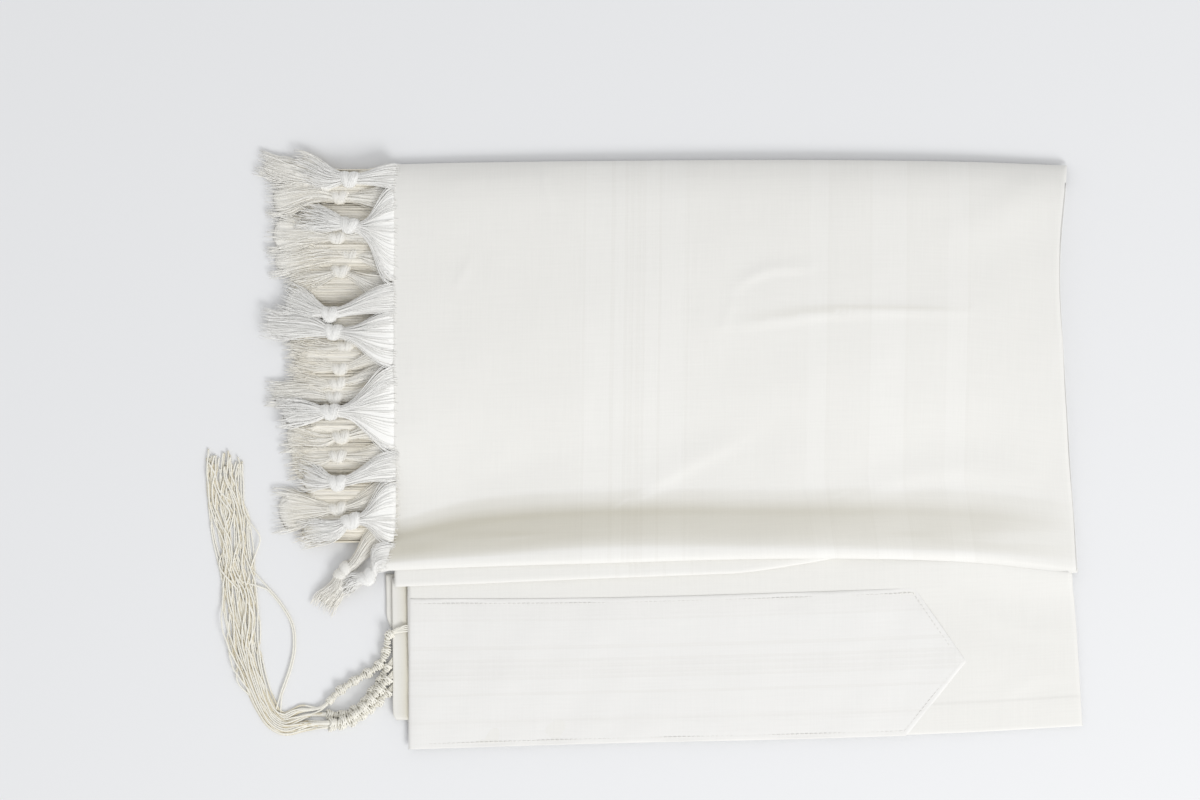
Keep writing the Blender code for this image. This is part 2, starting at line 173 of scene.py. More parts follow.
def route(points, count):
    """Evenly spaced points on the smooth curve through a route's own points."""
    points = np.array(points, float)
    at = lengths_along(points)
    return smooth(np.column_stack([at, points]), np.linspace(0.0, at[-1], count))[:, 1:]


def unit(vectors):
    return vectors / np.maximum(np.linalg.norm(vectors, axis=-1, keepdims=True), 1e-12)


def frames_along(paths):
    """Along, side and up directions of lines, turning no more than they have to."""
    along = unit(np.gradient(paths, axis=1))
    side = unit(np.cross(along[:, 0], (0.013, 0.007, 1.0)))
    sides = [side]
    for k in range(1, paths.shape[1]):
        side = unit(side - along[:, k] * np.sum(side * along[:, k], axis=1)[:, None])
        sides.append(side)
    sides = np.stack(sides, axis=1)
    return along, sides, np.cross(sides, along)


def corner_uvs(*corners):
    """UVs of four-cornered faces, from U and V at each of their corners."""
    pairs = [np.stack(np.broadcast_arrays(*pair), -1) for pair in corners]
    return np.stack(pairs, axis=-2).reshape(-1, 2)


def strands(paths, radius, corners, ply=0.0):
    """Closed round strands along lines with as many points each: points, faces and UVs.
    U goes once round a strand and V is metres along it. Two plies turn once in ply metres."""
    paths = np.asarray(paths, float)
    count, points = paths.shape[:2]
    along, side, up = frames_along(paths)
    at = np.stack([lengths_along(path) for path in paths])
    angle = WHOLE_TURN * np.arange(corners) / corners
    reach = np.broadcast_to(np.asarray(radius, float), (count, points))[:, :, None]
    if ply:
        reach = reach * (0.9 + 0.13 * np.cos(2.0 * (angle - WHOLE_TURN * at[:, :, None] / ply)))
    ring = side[:, :, None] * np.cos(angle)[:, None] + up[:, :, None] * np.sin(angle)[:, None]
    vertices = (paths[:, :, None] + ring * reach[..., None]).reshape(-1, 3)
    number = np.arange(count * points * corners).reshape(count, points, corners)
    following = np.roll(number, -1, axis=2)
    walls = np.stack(
        [number[:, :-1], number[:, 1:], following[:, 1:], following[:, :-1]], axis=-1
    ).reshape(-1, 4)
    starts = number[:, 0].reshape(-1, corners)
    ends = number[:, -1, ::-1].reshape(-1, corners)
    low = np.broadcast_to(np.arange(corners) / corners, (count, points - 1, corners))
    high = low + 1.0 / corners
    near = at[:, :-1, None]
    far = at[:, 1:, None]
    wall_uv = corner_uvs((low, near), (low, far), (high, far), (high, near))
    cap_uv = np.zeros((2 * count * corners, 2))
    faces = walls.tolist() + starts.tolist() + ends.tolist()
    return vertices, faces, np.concatenate([wall_uv, cap_uv])


def piece(name, parts, material):
    """One object from several (points, faces, UVs), riding on the shawl's body."""
    faces = []
    shift = 0
    for points, part_faces, _ in parts:
        faces += [[number + shift for number in face] for face in part_faces]
        shift += len(points)
    mesh = bpy.data.meshes.new(name)
    mesh.from_pydata(np.concatenate([part[0] for part in parts]).tolist(), [], faces)
    uvs = np.concatenate([part[2] for part in parts]).astype(np.float32)
    mesh.uv_layers.new(name="UVMap").data.foreach_set("uv", uvs.ravel())
    mesh.materials.append(material)
    mesh.shade_smooth()
    made = bpy.data.objects.new(name, mesh)
    scene.collection.objects.link(made)
    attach(made, "root")
    return made


def mark_painted_shade(made, shares):
    """Marks how much painted shade each point of a piece gets: a warmer, darker colour multiplied
    into its own.
    """
    painted_shade = made.data.attributes.new("painted_shade", "FLOAT", "POINT")
    painted_shade.data.foreach_set("value", np.ravel(shares).astype(np.float32))


def new_group(name, inputs, outputs):
    """An empty shader group with named number inputs and outputs."""
    group = bpy.data.node_groups.new(name, "ShaderNodeTree")
    for label, value in inputs:
        socket = group.interface.new_socket(label, in_out="INPUT", socket_type="NodeSocketFloat")
        socket.default_value = value
    for label in outputs:
        group.interface.new_socket(label, in_out="OUTPUT", socket_type="NodeSocketFloat")
    return group, group.nodes.new("NodeGroupInput").outputs, group.nodes.new("NodeGroupOutput")


def add_node(tree, kind, sockets=(), **settings):
    """A shader node with its settings, its sockets linked or set."""
    node = tree.nodes.new(f"ShaderNode{kind}")
    for name, value in settings.items():
        setattr(node, name, value)
    return connect(tree, node, sockets)


def maths(tree, operation, *values):
    """A Math node on sockets or plain numbers; gives its output."""
    return add_node(tree, "Math", enumerate(values), operation=operation).outputs[0]


def streaks(tree, x, y, scale=1.0, detail=2.0):
    """Noise over two places, for fibres and threads that run one way."""
    place = add_node(tree, "CombineXYZ", {"X": x, "Y": y}).outputs["Vector"]
    noise = {"Vector": place, "Scale": scale, "Detail": detail}
    return add_node(tree, "TexNoise", noise).outputs["Fac"]


def blend(tree, share, low, high, how="MIX"):
    """A colour between two, or one times a share of the other."""
    sockets = {"Factor": share, "A": low, "B": high}
    for name in "AB":
        if isinstance(sockets[name], tuple):
            sockets[name] = (*sockets[name], 1.0)
    mix = add_node(tree, "Mix", data_type="RGBA", blend_type=how)
    return connect(tree, mix, sockets).outputs["Result"]


def with_painted_shade(tree, colour, shade):
    """A colour with painted shade multiplied in, as far as each point of a piece is marked for it.
    """
    painted_shade = add_node(tree, "Attribute", attribute_name="painted_shade").outputs["Fac"]
    return blend(tree, painted_shade, colour, shade, "MULTIPLY")


def uv_places(tree):
    """U and V of the piece's own map: round or across it, and along it in metres."""
    uv = add_node(tree, "UVMap", uv_map="UVMap").outputs["UV"]
    apart = add_node(tree, "SeparateXYZ", {"Vector": uv}).outputs
    return apart["X"], apart["Y"]


def surface(tree, shader, colour, height, strength, distance):
    """Gives a shader its colour and its relief."""
    relief = {"Strength": strength, "Distance": distance, "Height": height}
    normal = add_node(tree, "Bump", relief).outputs["Normal"]
    connect(tree, shader, {"Base Color": colour, "Normal": normal})


# Yarn twisted from plies: a slanting groove round the strand, and loose fibre
plied_yarn, given, given_out = new_group(
    "plied_yarn", (("Around", 0.0), ("Along", 0.0), ("Twist", 0.004)), ("Height", "Shade")
)
turns = maths(plied_yarn, "DIVIDE", given["Along"], given["Twist"])
slant = maths(plied_yarn, "MULTIPLY_ADD", given["Around"], 2.0, turns)
groove = maths(plied_yarn, "SINE", maths(plied_yarn, "MULTIPLY", slant, WHOLE_TURN))
along = maths(plied_yarn, "MULTIPLY", given["Along"], 260.0)
fibre = streaks(plied_yarn, given["Around"], along, 6.0, 3.0)
height = maths(plied_yarn, "MULTIPLY_ADD", groove, 0.25, fibre)
connect(plied_yarn, given_out, {"Height": height, "Shade": fibre})


def yarn_finish(name, light, dark, twist, bump, shade=(0.80, 0.74, 0.60)):
    """Wool yarn: its colour runs between light and dark along the fibre, and painted shade is
    multiplied in where a piece is marked for it.
    """
    made, tree, shader = finish_of(name, light, 0.85, sheen=0.12, specular=0.25)
    around, along = uv_places(tree)
    places = {"Around": around, "Along": along, "Twist": twist}
    yarn = add_node(tree, "Group", places, node_tree=plied_yarn).outputs
    colour = with_painted_shade(tree, blend(tree, yarn["Shade"], dark, light), shade)
    surface(tree, shader, colour, yarn["Height"], 0.6, bump)
    return made


tzitzit_wool = yarn_finish(
    "tzitzit_wool", light=(0.93, 0.915, 0.85), dark=(0.86, 0.83, 0.74), twist=0.0042, bump=0.0002
)
CORE = 0.00165  # radius of the seven straight ends together
WINDING_PITCH = 0.0018
STEPS_A_TURN = 11
KNOT_SHARES = (0.02, 0.20, 0.36, 0.50, 0.66, 0.82, 0.97)
KNOT_REACH = 0.0026  # from the cord's middle to the middle of a knot's strings
KNOT_SLANT = 0.0016
KNOT_APART = 0.0015  # between a double knot's two turns
PLY_TURN = 0.0042
TIGHT = STRING * 0.48  # radius of a string that is pulled tight
BARE_STEPS = 60
rng = np.random.default_rng(613)


def round_cord(line, shares, angles, reach):
    """Points round a line: at each share of its length, an angle and a distance from it."""
    at = lengths_along(line)
    places = np.asarray(shares) * at[-1]
    _, side, up = frames_along(line[None])
    middle, side, up = (
        np.column_stack([np.interp(places, at, column) for column in values.T])
        for values in (line, side[0], up[0])
    )
    turn = side * np.cos(angles)[:, None] + up * np.sin(angles)[:, None]
    return middle + turn * np.asarray(reach)[:, None]


for cord in WOUND_CORDS:
    line = route(cord.points, 90)
    length = lengths_along(line)[-1]
    first = cord.wound_from
    turns = length * (1.0 - first) / WINDING_PITCH
    steps = round(turns * STEPS_A_TURN)
    shares = np.linspace(first, 1.0, steps)
    phase = rng.uniform(0.0, 6.3, 3)
    loose = 0.00025 * np.sin(shares * 61.0 + phase[0]) + 0.0002 * np.sin(shares * 143.0 + phase[1])
    pace = shares + 0.006 * np.sin(shares * 97.0 + phase[2])
    angles = WHOLE_TURN * turns * pace
    winding = round_cord(line, shares, angles, CORE + STRING * 0.40 + np.maximum(loose, -0.0001))
    winding[:, 2] = np.maximum(winding[:, 2], STRING * 0.5)
    parts = [strands([winding], TIGHT, 6, ply=PLY_TURN)]
    # the straight ends: flat beside each other where they leave the cloth, then a core
    ends = []
    for k in range(ENDS_A_CORD):
        turn = WHOLE_TURN * (k + 0.5) / ENDS_A_CORD
        core_shares = np.linspace(max(first, 0.02), 1.0, BARE_STEPS)
        reach = np.full(BARE_STEPS, CORE * 0.62)
        core = round_cord(line, core_shares, turn + 1.5 * core_shares, reach)
        beside = (k % 4 - 1.5) * STRING
        over = (k // 4) * STRING * 0.85
        way = unit(np.subtract(cord.rest, cord.start)[:2])
        sideways = np.array((-way[1], way[0], 0.0)) * beside + np.array((0.0, 0.0, over))
        lead = route([cord.start + sideways, cord.rest + sideways, core[0], core[3]], 14)
        ends.append(np.concatenate([lead[:-1], core[3:]]))
    parts.append(strands(ends, TIGHT, 6, ply=PLY_TURN))
    for share in KNOT_SHARES:
        share = first + (1.0 - first) * share
        size = rng.uniform(0.85, 1.25)
        for way in (-1.0, 1.0):
            for lift in (0.0, 1.0):
                bend = np.linspace(0.0, WHOLE_TURN, 20)
                tilt = way * KNOT_SLANT * np.cos(bend + 0.9 * way) + (lift - 0.5) * KNOT_APART
                knot_shares = np.clip(share + tilt / length, 0.0, 1.0)
                spread = KNOT_REACH * size * (1.0 + 0.14 * np.sin(2.0 * bend + way + phase[0]))
                loop = round_cord(line, knot_shares, bend, spread)
                loop[:, 2] = np.maximum(loop[:, 2], STRING * 0.5)
                parts.append(strands([loop], STRING * 0.5, 6, ply=PLY_TURN))
    wound = piece(f"wound_cord_{cord.name}", parts, tzitzit_wool)
    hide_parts(f"tzitzit_cord_{cord.name}")
    middle = np.mean(ends, axis=0)


# Loose strings of the tzitzit.
# Below its last knot each corner's eight wool ends hang free. All 32 lie together in one
# swathe that bends away from the fringe, two of them in a loop of their own beside it.
Lay = namedtuple("Lay", "x y width")
STRING_LAY = (
    Lay(-0.2450, -0.1868, 0.0190), Lay(-0.2536, -0.1880, 0.0175), Lay(-0.2620, -0.1915, 0.0150),
    Lay(-0.2704, -0.1938, 0.0130), Lay(-0.2781, -0.1898, 0.0120), Lay(-0.2844, -0.1803, 0.0120),
    Lay(-0.2893, -0.1691, 0.0120), Lay(-0.2935, -0.1565, 0.0150), Lay(-0.2977, -0.1411, 0.0200),
    Lay(-0.3005, -0.1201, 0.0235), Lay(-0.3033, -0.0991, 0.0250), Lay(-0.3061, -0.0781, 0.0250),
    Lay(-0.3082, -0.0571, 0.0255), Lay(-0.3103, -0.0361, 0.0250), Lay(-0.3114, -0.0186, 0.0255),
    Lay(-0.3121, 0.0000, 0.0265),
)
STRAY_LOOP = (
    (-0.2748, -0.1775, 0.0016), (-0.2708, -0.1665, 0.0014), (-0.2662, -0.1530, 0.0014),
    (-0.2637, -0.1390, 0.0014), (-0.2652, -0.1235, 0.0014), (-0.2720, -0.1110, 0.0014),
    (-0.2800, -0.1010, 0.0014), (-0.2870, -0.0950, 0.0016),
)
STRING_SIDES = 8
SETTLINGS = 60
PLACES = 150  # points along the swathe at which the strings are laid out

lay = route(STRING_LAY, PLACES)
lay_at = lengths_along(lay[:, :2])
lay_along = unit(np.gradient(lay[:, :2], axis=0))
lay_across = np.column_stack([lay_along[:, 1], -lay_along[:, 0]])
lay_share = lay_at / lay_at[-1]
owners = [cord for cord in WOUND_CORDS for _ in range(ENDS_A_CORD)]
strings = len(owners)
start_lane = np.array([cord.lane for cord in owners]) + rng.uniform(-0.22, 0.22, strings)
end_lane = np.linspace(-1.0, 1.0, strings)
rng.shuffle(end_lane)
end_lane = 0.55 * end_lane + 0.45 * start_lane / np.abs(start_lane).max()
end_lane = (np.argsort(np.argsort(end_lane)) / (strings - 1) * 2.0 - 1.0) * 0.94

# Each string drifts from its first lane to its last, with slow waves of its own
drift = np.clip((lay_share - 0.22) / 0.6, 0.0, 1.0)
drift = drift * drift * (3.0 - 2.0 * drift)
lane = start_lane[:, None] * (1.0 - drift) + end_lane[:, None] * drift
for waves, size in ((1.6, 0.26), (3.4, 0.20), (7.0, 0.06)):
    phase = rng.uniform(0.0, WHOLE_TURN, (strings, 1))
    often = waves * rng.uniform(0.75, 1.25, (strings, 1))
    lane += size * np.sin(WHOLE_TURN * often * lay_share + phase) * (0.35 + drift)
lane = np.clip(lane, -1.05, 1.05)
across = lane * lay[:, 2] / 2.0
height = rng.uniform(0.6, 3.0, (strings, 1)) * STRING * np.ones_like(across)

# At each place the strings settle beside and on each other, each a string's thickness apart
for _ in range(SETTLINGS):
    apart_x = across[:, None] - across[None]
    apart_z = height[:, None] - height[None]
    distance = np.sqrt(apart_x**2 + apart_z**2) + 1e-9
    push = np.clip(STRING * 1.02 - distance, 0.0, None) / distance * 0.32
    push[np.arange(strings), np.arange(strings)] = 0.0
    across += (push * apart_x).sum(axis=1) * 0.6
    height += (push * apart_z).sum(axis=1)
    height = np.maximum(height - 0.00008, STRING * 0.52)
    for values in (across, height):
        values[:, 1:-1] = 0.25 * values[:, :-2] + 0.5 * values[:, 1:-1] + 0.25 * values[:, 2:]
height = np.maximum(height, STRING * 0.52)

# Some stray from the swathe and come back: which, where, over how much of it, and how far
Stray = namedtuple("Stray", "string place reach aside lift")
STRAYS = (
    Stray(2, 0.40, 0.075, -0.0075, 0.0),
    Stray(5, 0.37, 0.055, -0.0040, 0.0),
    Stray(12, 0.47, 0.050, 0.0040, 0.0),
    Stray(19, 0.34, 0.090, -0.0080, 0.0020),
    Stray(27, 0.44, 0.095, -0.0065, 0.0030),
    Stray(30, 0.30, 0.050, -0.0070, 0.0015),
    Stray(8, 0.55, 0.060, 0.0080, 0.0020),
    Stray(23, 0.62, 0.050, -0.0060, 0.0020),
    Stray(15, 0.80, 0.030, 0.0050, 0.0),
    Stray(10, 0.72, 0.050, 0.0070, 0.0025),
)
for stray in STRAYS:
    swing = np.exp(-(((lay_share - stray.place) / stray.reach) ** 2))
    across[stray.string] += stray.aside * swing
    height[stray.string] += stray.lift * swing
crossing = 1.0 / (1.0 + np.exp(-(lay_share - 0.84) / 0.012))
crosser = int(np.argmax(across[:, -20]))
across[crosser] -= 0.020 * crossing
height[crosser] = np.maximum(height[crosser], height.max(axis=0) * crossing)

# How much each lies under others, where painted shade makes their wool darker and warmer
near = np.abs(across[:, None] - across[None]) < STRING * 0.9
above = height[None] - height[:, None] > STRING * 0.3
covered_shade = np.clip((near & above).sum(axis=1) / 1.6, 0.0, 1.0)
covered_shade[:, 1:-1] = (covered_shade[:, :-2] + covered_shade[:, 1:-1] + covered_shade[:, 2:]) / 3.0


def bezier(starts, outs, intos, ends, steps):
    """Points along cubic curves: (curves, steps, 3)."""
    t = np.linspace(0.0, 1.0, steps)[None, :, None]
    return (
        (1 - t) ** 3 * starts[:, None]
        + 3 * (1 - t) ** 2 * t * outs[:, None]
        + 3 * (1 - t) * t**2 * intos[:, None]
        + t**3 * ends[:, None]
    )


LEAVE = 0.016  # along the swathe, where a string has reached its own lane
for number, cord in enumerate(owners):
    plan = lay[:, :2] + lay_across * across[number][:, None]
    laid = np.column_stack([plan, height[number]])
    k = number % ENDS_A_CORD
    turn = WHOLE_TURN * k / ENDS_A_CORD
    offset = np.array((0.0, math.cos(turn), math.sin(turn))) * 0.00115
    exit_point = cord.points[-1] + offset
    exit_point[2] = max(exit_point[2], STRING * 0.52)
    first = np.searchsorted(lay_at, LEAVE * rng.uniform(0.8, 1.5))
    reach = np.linalg.norm(laid[first] - exit_point)
    out = exit_point + unit(np.subtract(cord.points[-1], cord.points[-2])) * reach * 0.4
    into = laid[first] - unit(laid[first + 2] - laid[first]) * reach * 0.35
    lead = bezier(*np.stack([exit_point, out, into, laid[first]])[:, None], 12)[0, :-1]
    cut = round((1.0 - min(abs(rng.normal(0.0, 0.04)), 0.12)) * PLACES)
    string = np.concatenate([lead, laid[first:cut]])
    if number in (0, 9):
        loop = route(STRAY_LOOP, 40)
        shift = 0.0007 if cord.name == "rear" else -0.0007
        away = unit(np.gradient(loop, axis=0))
        loop = loop + np.column_stack([away[:, 1], -away[:, 0], 0 * away[:, 0]]) * shift
        leaves = int(np.argmin(np.linalg.norm(laid[:, :2] - loop[0, :2], axis=1))) - 5
        joins = int(np.argmin(np.linalg.norm(laid[:, :2] - loop[-1, :2], axis=1))) + 6
        string = np.concatenate([lead, laid[first:leaves], loop[2:-2], laid[joins:cut]])
    length = lengths_along(string)[-1]
    string = route(string[::2], round(length / 0.0009))
    made = piece(
        f"tzitzit_string_{number + 1:02d}",
        [strands([string], STRING / 2.0, STRING_SIDES, ply=PLY_TURN)],
        tzitzit_wool,
    )
    # painted shade where a string lies under others
    apart = np.linalg.norm(string[:, None, :2] - plan[None], axis=2)
    shade = covered_shade[number][np.argmin(apart, axis=1)] * (apart.min(axis=1) < STRING)
    mark_painted_shade(made, np.repeat(shade, STRING_SIDES))
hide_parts("tzitzit_strings", "tzitzit_stray_loop")


# Upper panel of the shawl.
# Fine white wool in plain weave, with self stripes of satin weave near its fringed end.
# It is the uppermost fold: it rolls down at the rear and at the right, rises to a soft
# ridge behind its front fold, and keeps the creases of an earlier folding.
Section = namedtuple("Section", "u hem second front ridge trough rear depth height")
SECTIONS = (
    Section(0.00, -0.2100, -0.0970, -0.0858, -0.0808, -0.0500, 0.1992, 0.0086, 0.0148),
    Section(0.12, -0.2083, -0.0948, -0.0832, -0.0760, -0.0340, 0.2003, 0.0110, 0.0156),
    Section(0.30, -0.2064, -0.0912, -0.0805, -0.0702, -0.0270, 0.2013, 0.0104, 0.0164),
    Section(0.60, -0.2031, -0.0860, -0.0770, -0.0700, -0.0260, 0.2020, 0.0086, 0.0168),
    Section(0.84, -0.1992, -0.0830, -0.0795, -0.0725, -0.0265, 0.2009, 0.0060, 0.0162),
    Section(1.00, -0.1949, -0.0880, -0.0872, -0.0790, -0.0350, 0.1985, 0.0012, 0.0150),
)
Edge = namedtuple("Edge", "y left right")
PANEL_LEFT = -0.1943
PANEL_RIGHT = 0.2805
TOP_EDGES = (
    Edge(-0.0860, -0.2025, 0.2854),
    Edge(-0.0720, -0.1972, 0.2846),
    Edge(-0.0500, -0.1945, 0.2833),
    Edge(-0.0130, PANEL_LEFT, PANEL_RIGHT),
    Edge(0.0600, PANEL_LEFT, 0.2755),
    Edge(0.1280, PANEL_LEFT, 0.2725),
    Edge(0.1990, PANEL_LEFT, 0.2784),
)
CLOTH = 0.0006  # thickness of the wool
PROFILE_STEPS = 400
ROLL = 0.0040  # radius of the fold at the right
SECOND_TOP = 0.0090  # height of the second fold
RIDGE_DROP = 0.0016
CLOSING_FROM = 0.58  # from here to the right, fewer layers lie in the fold in front
CLOSING = 0.34
RIDGE_CLOSES = 0.0040
FOLD_CLOSES = 0.0021
HOLLOW_FLOOR = 0.0015  # height above which a slope falling to the rear gets painted shade
# painted shade on the cloth is marked only between these two y
HOLLOWS_FROM = -0.0835
HOLLOWS_TO = 0.1
DEEPEST_FALL = 0.42  # slope at which the painted shade is full
NECK_RISES = 0.0031  # where the neck panel meets the fold at the right


def cloth_grid(profile, edges, columns, shares, roll_steps=6, roll=ROLL):
    """Points (along the profile, along the neckband) of a stretch, rolled down at the right."""
    u = np.linspace(0.0, 1.0, columns)
    sections = [Section(*row) for row in smooth(SECTIONS, u)]
    grid = np.zeros((len(shares), columns + roll_steps, 3))
    down = np.zeros(grid.shape[:2])
    for column, section in enumerate(sections):
        dense = route(profile(section), PROFILE_STEPS)
        dense_at = lengths_along(dense)
        for axis in (0, 1):
            grid[:, column, axis + 1] = np.interp(shares * dense_at[-1], dense_at, dense[:, axis])
        down[:, column] = shares * dense_at[-1]
    edge_rows = smooth(edges, grid[:, columns - 1, 1])
    left = edge_rows[:, 1:2]
    right = edge_rows[:, 2:3]
    grid[:, :columns, 0] = left + (right - roll - left) * u
    end = grid[:, columns - 1]
    drop = np.minimum(roll, 0.4 * end[:, 2])
    angle = math.radians(90.0) * np.arange(1, roll_steps + 1) / roll_steps if roll_steps else 0.0
    grid[:, columns:] = end[:, None]
    grid[:, columns:, 0] += roll * np.sin(angle)
    grid[:, columns:, 2] -= drop[:, None] * (1.0 - np.cos(angle))
    down[:, columns:] = down[:, columns - 1 : columns]
    return grid, down


def closed_by(u):
    """How far the front fold has closed, from 0 at the left to 1 at the right."""
    closing = min(1.0, max(0.0, (u - CLOSING_FROM) / CLOSING))
    return closing * closing * (3.0 - 2.0 * closing)


# From ridge to trough: shares of the way to the rear, and of the way down
SLOPE = (
    (0.0, 0.0), (0.13, 0.08), (0.32, 0.31), (0.52, 0.59), (0.66, 0.81), (0.80, 0.94), (1.0, 1.0)
)


def top_profile(s):
    """From the front fold over ridge, trough and middle to the rear fold."""
    closing = closed_by(s.u)
    ridge = s.height - RIDGE_DROP - RIDGE_CLOSES * closing
    trough = ridge - s.depth
    fold = SECOND_TOP + 0.0003 - FOLD_CLOSES * closing
    return (
        (s.front + 0.0035, fold + 0.0001),
        (s.front + 0.0010, fold + 0.0003),
        (s.front, fold + 0.0008),
        (s.front + 0.0008 + 0.0010 * closing, 0.50 * fold + 0.50 * ridge),
        (s.front + 0.0032 + 0.0010 * closing, 0.16 * fold + 0.84 * ridge),
        *((s.ridge + way * (s.trough - s.ridge), ridge - down * s.depth) for way, down in SLOPE),
        (s.trough + 0.030, trough + 0.22 * (s.height - trough)),
        (s.trough + 0.068, trough + 0.66 * (s.height - trough)),
        (0.090, s.height - 0.0004),
        (0.130, s.height),
        (s.rear - 0.030, s.height - 0.0006),
        (s.rear - 0.015, s.height - 0.0026),
        (s.rear - 0.005, s.height - 0.0062),
        (s.rear, s.height - 0.0100),
        (s.rear, 0.0024),
    )


# Creases: a line on the cloth, how far up it stands, and its width before and behind the line
Crease = namedtuple("Crease", "line rise front rear")
TOP_CREASES = (
    Crease(((0.0425, 0.1103), (0.0663, 0.1229), (0.0985, 0.1257)), 0.0010, 0.0022, 0.0060),
    Crease(((0.0369, 0.0837), (0.0607, 0.0865), (0.1202, 0.0935), (0.2056, 0.0942)),
           0.0012, 0.0018, 0.0065),
    Crease(((0.0369, 0.0837), (0.0418, 0.0980), (0.0425, 0.1103)), 0.0005, 0.0030, 0.0040),
    Crease(((-0.1388, 0.1355), (-0.1507, 0.1110)), 0.0005, 0.0025, 0.0040),
    Crease(((-0.0260, -0.0335), (0.0080, -0.0140), (0.0404, 0.0030), (0.0607, 0.0144)),
           0.0010, 0.0055, 0.0120),
    Crease(((0.2588, 0.1908), (0.2300, 0.1650), (0.1950, 0.1500)), 0.0010, 0.0120, 0.0160),
    Crease(((-0.0900, 0.1990), (-0.0870, 0.1820), (-0.0830, 0.1700)), 0.0005, 0.0030, 0.0030),
    Crease(((0.1300, -0.0300), (0.1900, -0.0150), (0.2500, -0.0200)), 0.0008, 0.0070, 0.0120),
    Crease(((-0.1500, -0.0150), (-0.1000, 0.0050), (-0.0500, 0.0100)), 0.0006, 0.0100, 0.0150),
)


def crease_rise(points, creases):
    """How far the creases lift each point of a stretch (points are x and y)."""
    rise = np.zeros(len(points))
    for crease in creases:
        line = route(np.column_stack([crease.line, np.zeros(len(crease.line))]), 40)[:, :2]
        apart = points[:, None] - line[None]
        nearest = np.argmin((apart**2).sum(axis=2), axis=1)
        away = apart[np.arange(len(points)), nearest]
        along = unit(np.gradient(line, axis=0))[nearest]
        aside = along[:, 0] * away[:, 1] - along[:, 1] * away[:, 0]
        beyond = np.abs((along * away).sum(axis=1))
        width = np.where(aside < 0.0, crease.front, crease.rear)
        share = nearest / (len(line) - 1)
        fade = np.sin(math.pi * np.clip(share, 0.04, 0.96)) ** 0.6
        rise += crease.rise * fade * np.exp(-((np.hypot(aside, beyond) / width) ** 2))
    return rise


def soft_waves(points, seed, sizes):
    """Slow unevenness of laid cloth: waves of given (length, height) in all directions."""
    draw = np.random.default_rng(seed)
    total = np.zeros(len(points))
    for wavelength, size in sizes:
        for _ in range(5):
            heading = draw.uniform(0.0, math.pi)
            way = np.array((math.cos(heading), math.sin(heading)))
            often = WHOLE_TURN / (wavelength * draw.uniform(0.8, 1.3))
            total += size / 2.2 * np.sin(points @ way * often + draw.uniform(0.0, 6.3))
    return total


def unevenness(grid, creases, seed=0, sizes=()):
    """How far creases and slow waves lift each point of a grid."""
    points = grid[..., :2].reshape(-1, 2)
    rise = crease_rise(points, creases) + soft_waves(points, seed, sizes)
    return rise.reshape(grid.shape[:2])


def grid_faces(rows, columns):
    """Four-cornered faces between the points of a grid, facing up."""
    number = np.arange(rows * columns).reshape(rows, columns)
    corners = [number[:-1, :-1], number[:-1, 1:], number[1:, 1:], number[1:, :-1]]
    return np.stack(corners, axis=-1).reshape(-1, 4)


def cloth_piece(name, grid, across, down, material, thickness=CLOTH, warmth=0.0):
    """A stretch of cloth: its outer side from a grid, thickened inwards. Where it falls away to the
    rear, away from the lamp, it is marked for painted shade, and a given share adds more painted
    shade."""
    faces = grid_faces(*grid.shape[:2])
    uv = np.stack([across, down], axis=-1).reshape(-1, 2)
    made = piece(name, [(grid.reshape(-1, 3), faces.tolist(), uv[faces.ravel()])], material)
    y = grid[..., 1]
    z = grid[..., 2]
    # painted shade where the cloth falls away to the rear, away from the lamp
    fall = np.zeros(grid.shape[:2])
    fall[1:-1] = (z[:-2] - z[2:]) / np.maximum(y[2:] - y[:-2], 1e-5)
    fall *= (z > HOLLOW_FLOOR) & (y > HOLLOWS_FROM) & (y < HOLLOWS_TO)
    mark_painted_shade(made, np.clip(fall / DEEPEST_FALL + warmth, 0.0, 1.0))
    wall = made.modifiers.new("wall", "SOLIDIFY")
    wall.thickness = thickness
    wall.offset = -1.0
    bpy.ops.object.select_all(action="DESELECT")
    bpy.context.view_layer.objects.active = made
    made.select_set(True)
    bpy.ops.object.modifier_apply(modifier=wall.name)
    made.select_set(False)
    return made


# Weaves of the self stripes: how much of each is satin, and how far it stands up
Weave = namedtuple("Weave", "satin relief")
GROUND = Weave(0.3, 0.4)
PLAIN = Weave(0.0, 0.0)
SATIN = Weave(1.0, 0.6)
LINE = Weave(0.6, 1.0)
# Where each stripe begins, in millimetres from the first line
STRIPES = (
    (0.0, LINE), (1.8, PLAIN), (3.5, SATIN), (21.0, PLAIN), (23.8, SATIN), (30.8, PLAIN),
    (32.9, LINE), (34.6, PLAIN), (37.1, LINE), (39.2, PLAIN), (42.0, LINE), (43.4, PLAIN),
    (45.5, SATIN), (54.6, PLAIN), (56.7, SATIN), (72.4, LINE), (73.8, PLAIN), (75.6, LINE),
    (77.3, GROUND),
)
WIDE_STRIPES = (
    (0.0, LINE), (1.4, SATIN), (13.3, PLAIN), (16.8, GROUND), (42.7, PLAIN), (44.4, SATIN),
    (68.6, PLAIN), (70.7, GROUND), (98.0, SATIN), (111.3, PLAIN), (113.4, GROUND),
)
STRIPES_LEAD = 0.004  # of plain ground before the first line
FIRST_LINE = -0.0639  # x of the first line on the upper panel
WIDE_FIRST = 0.0950


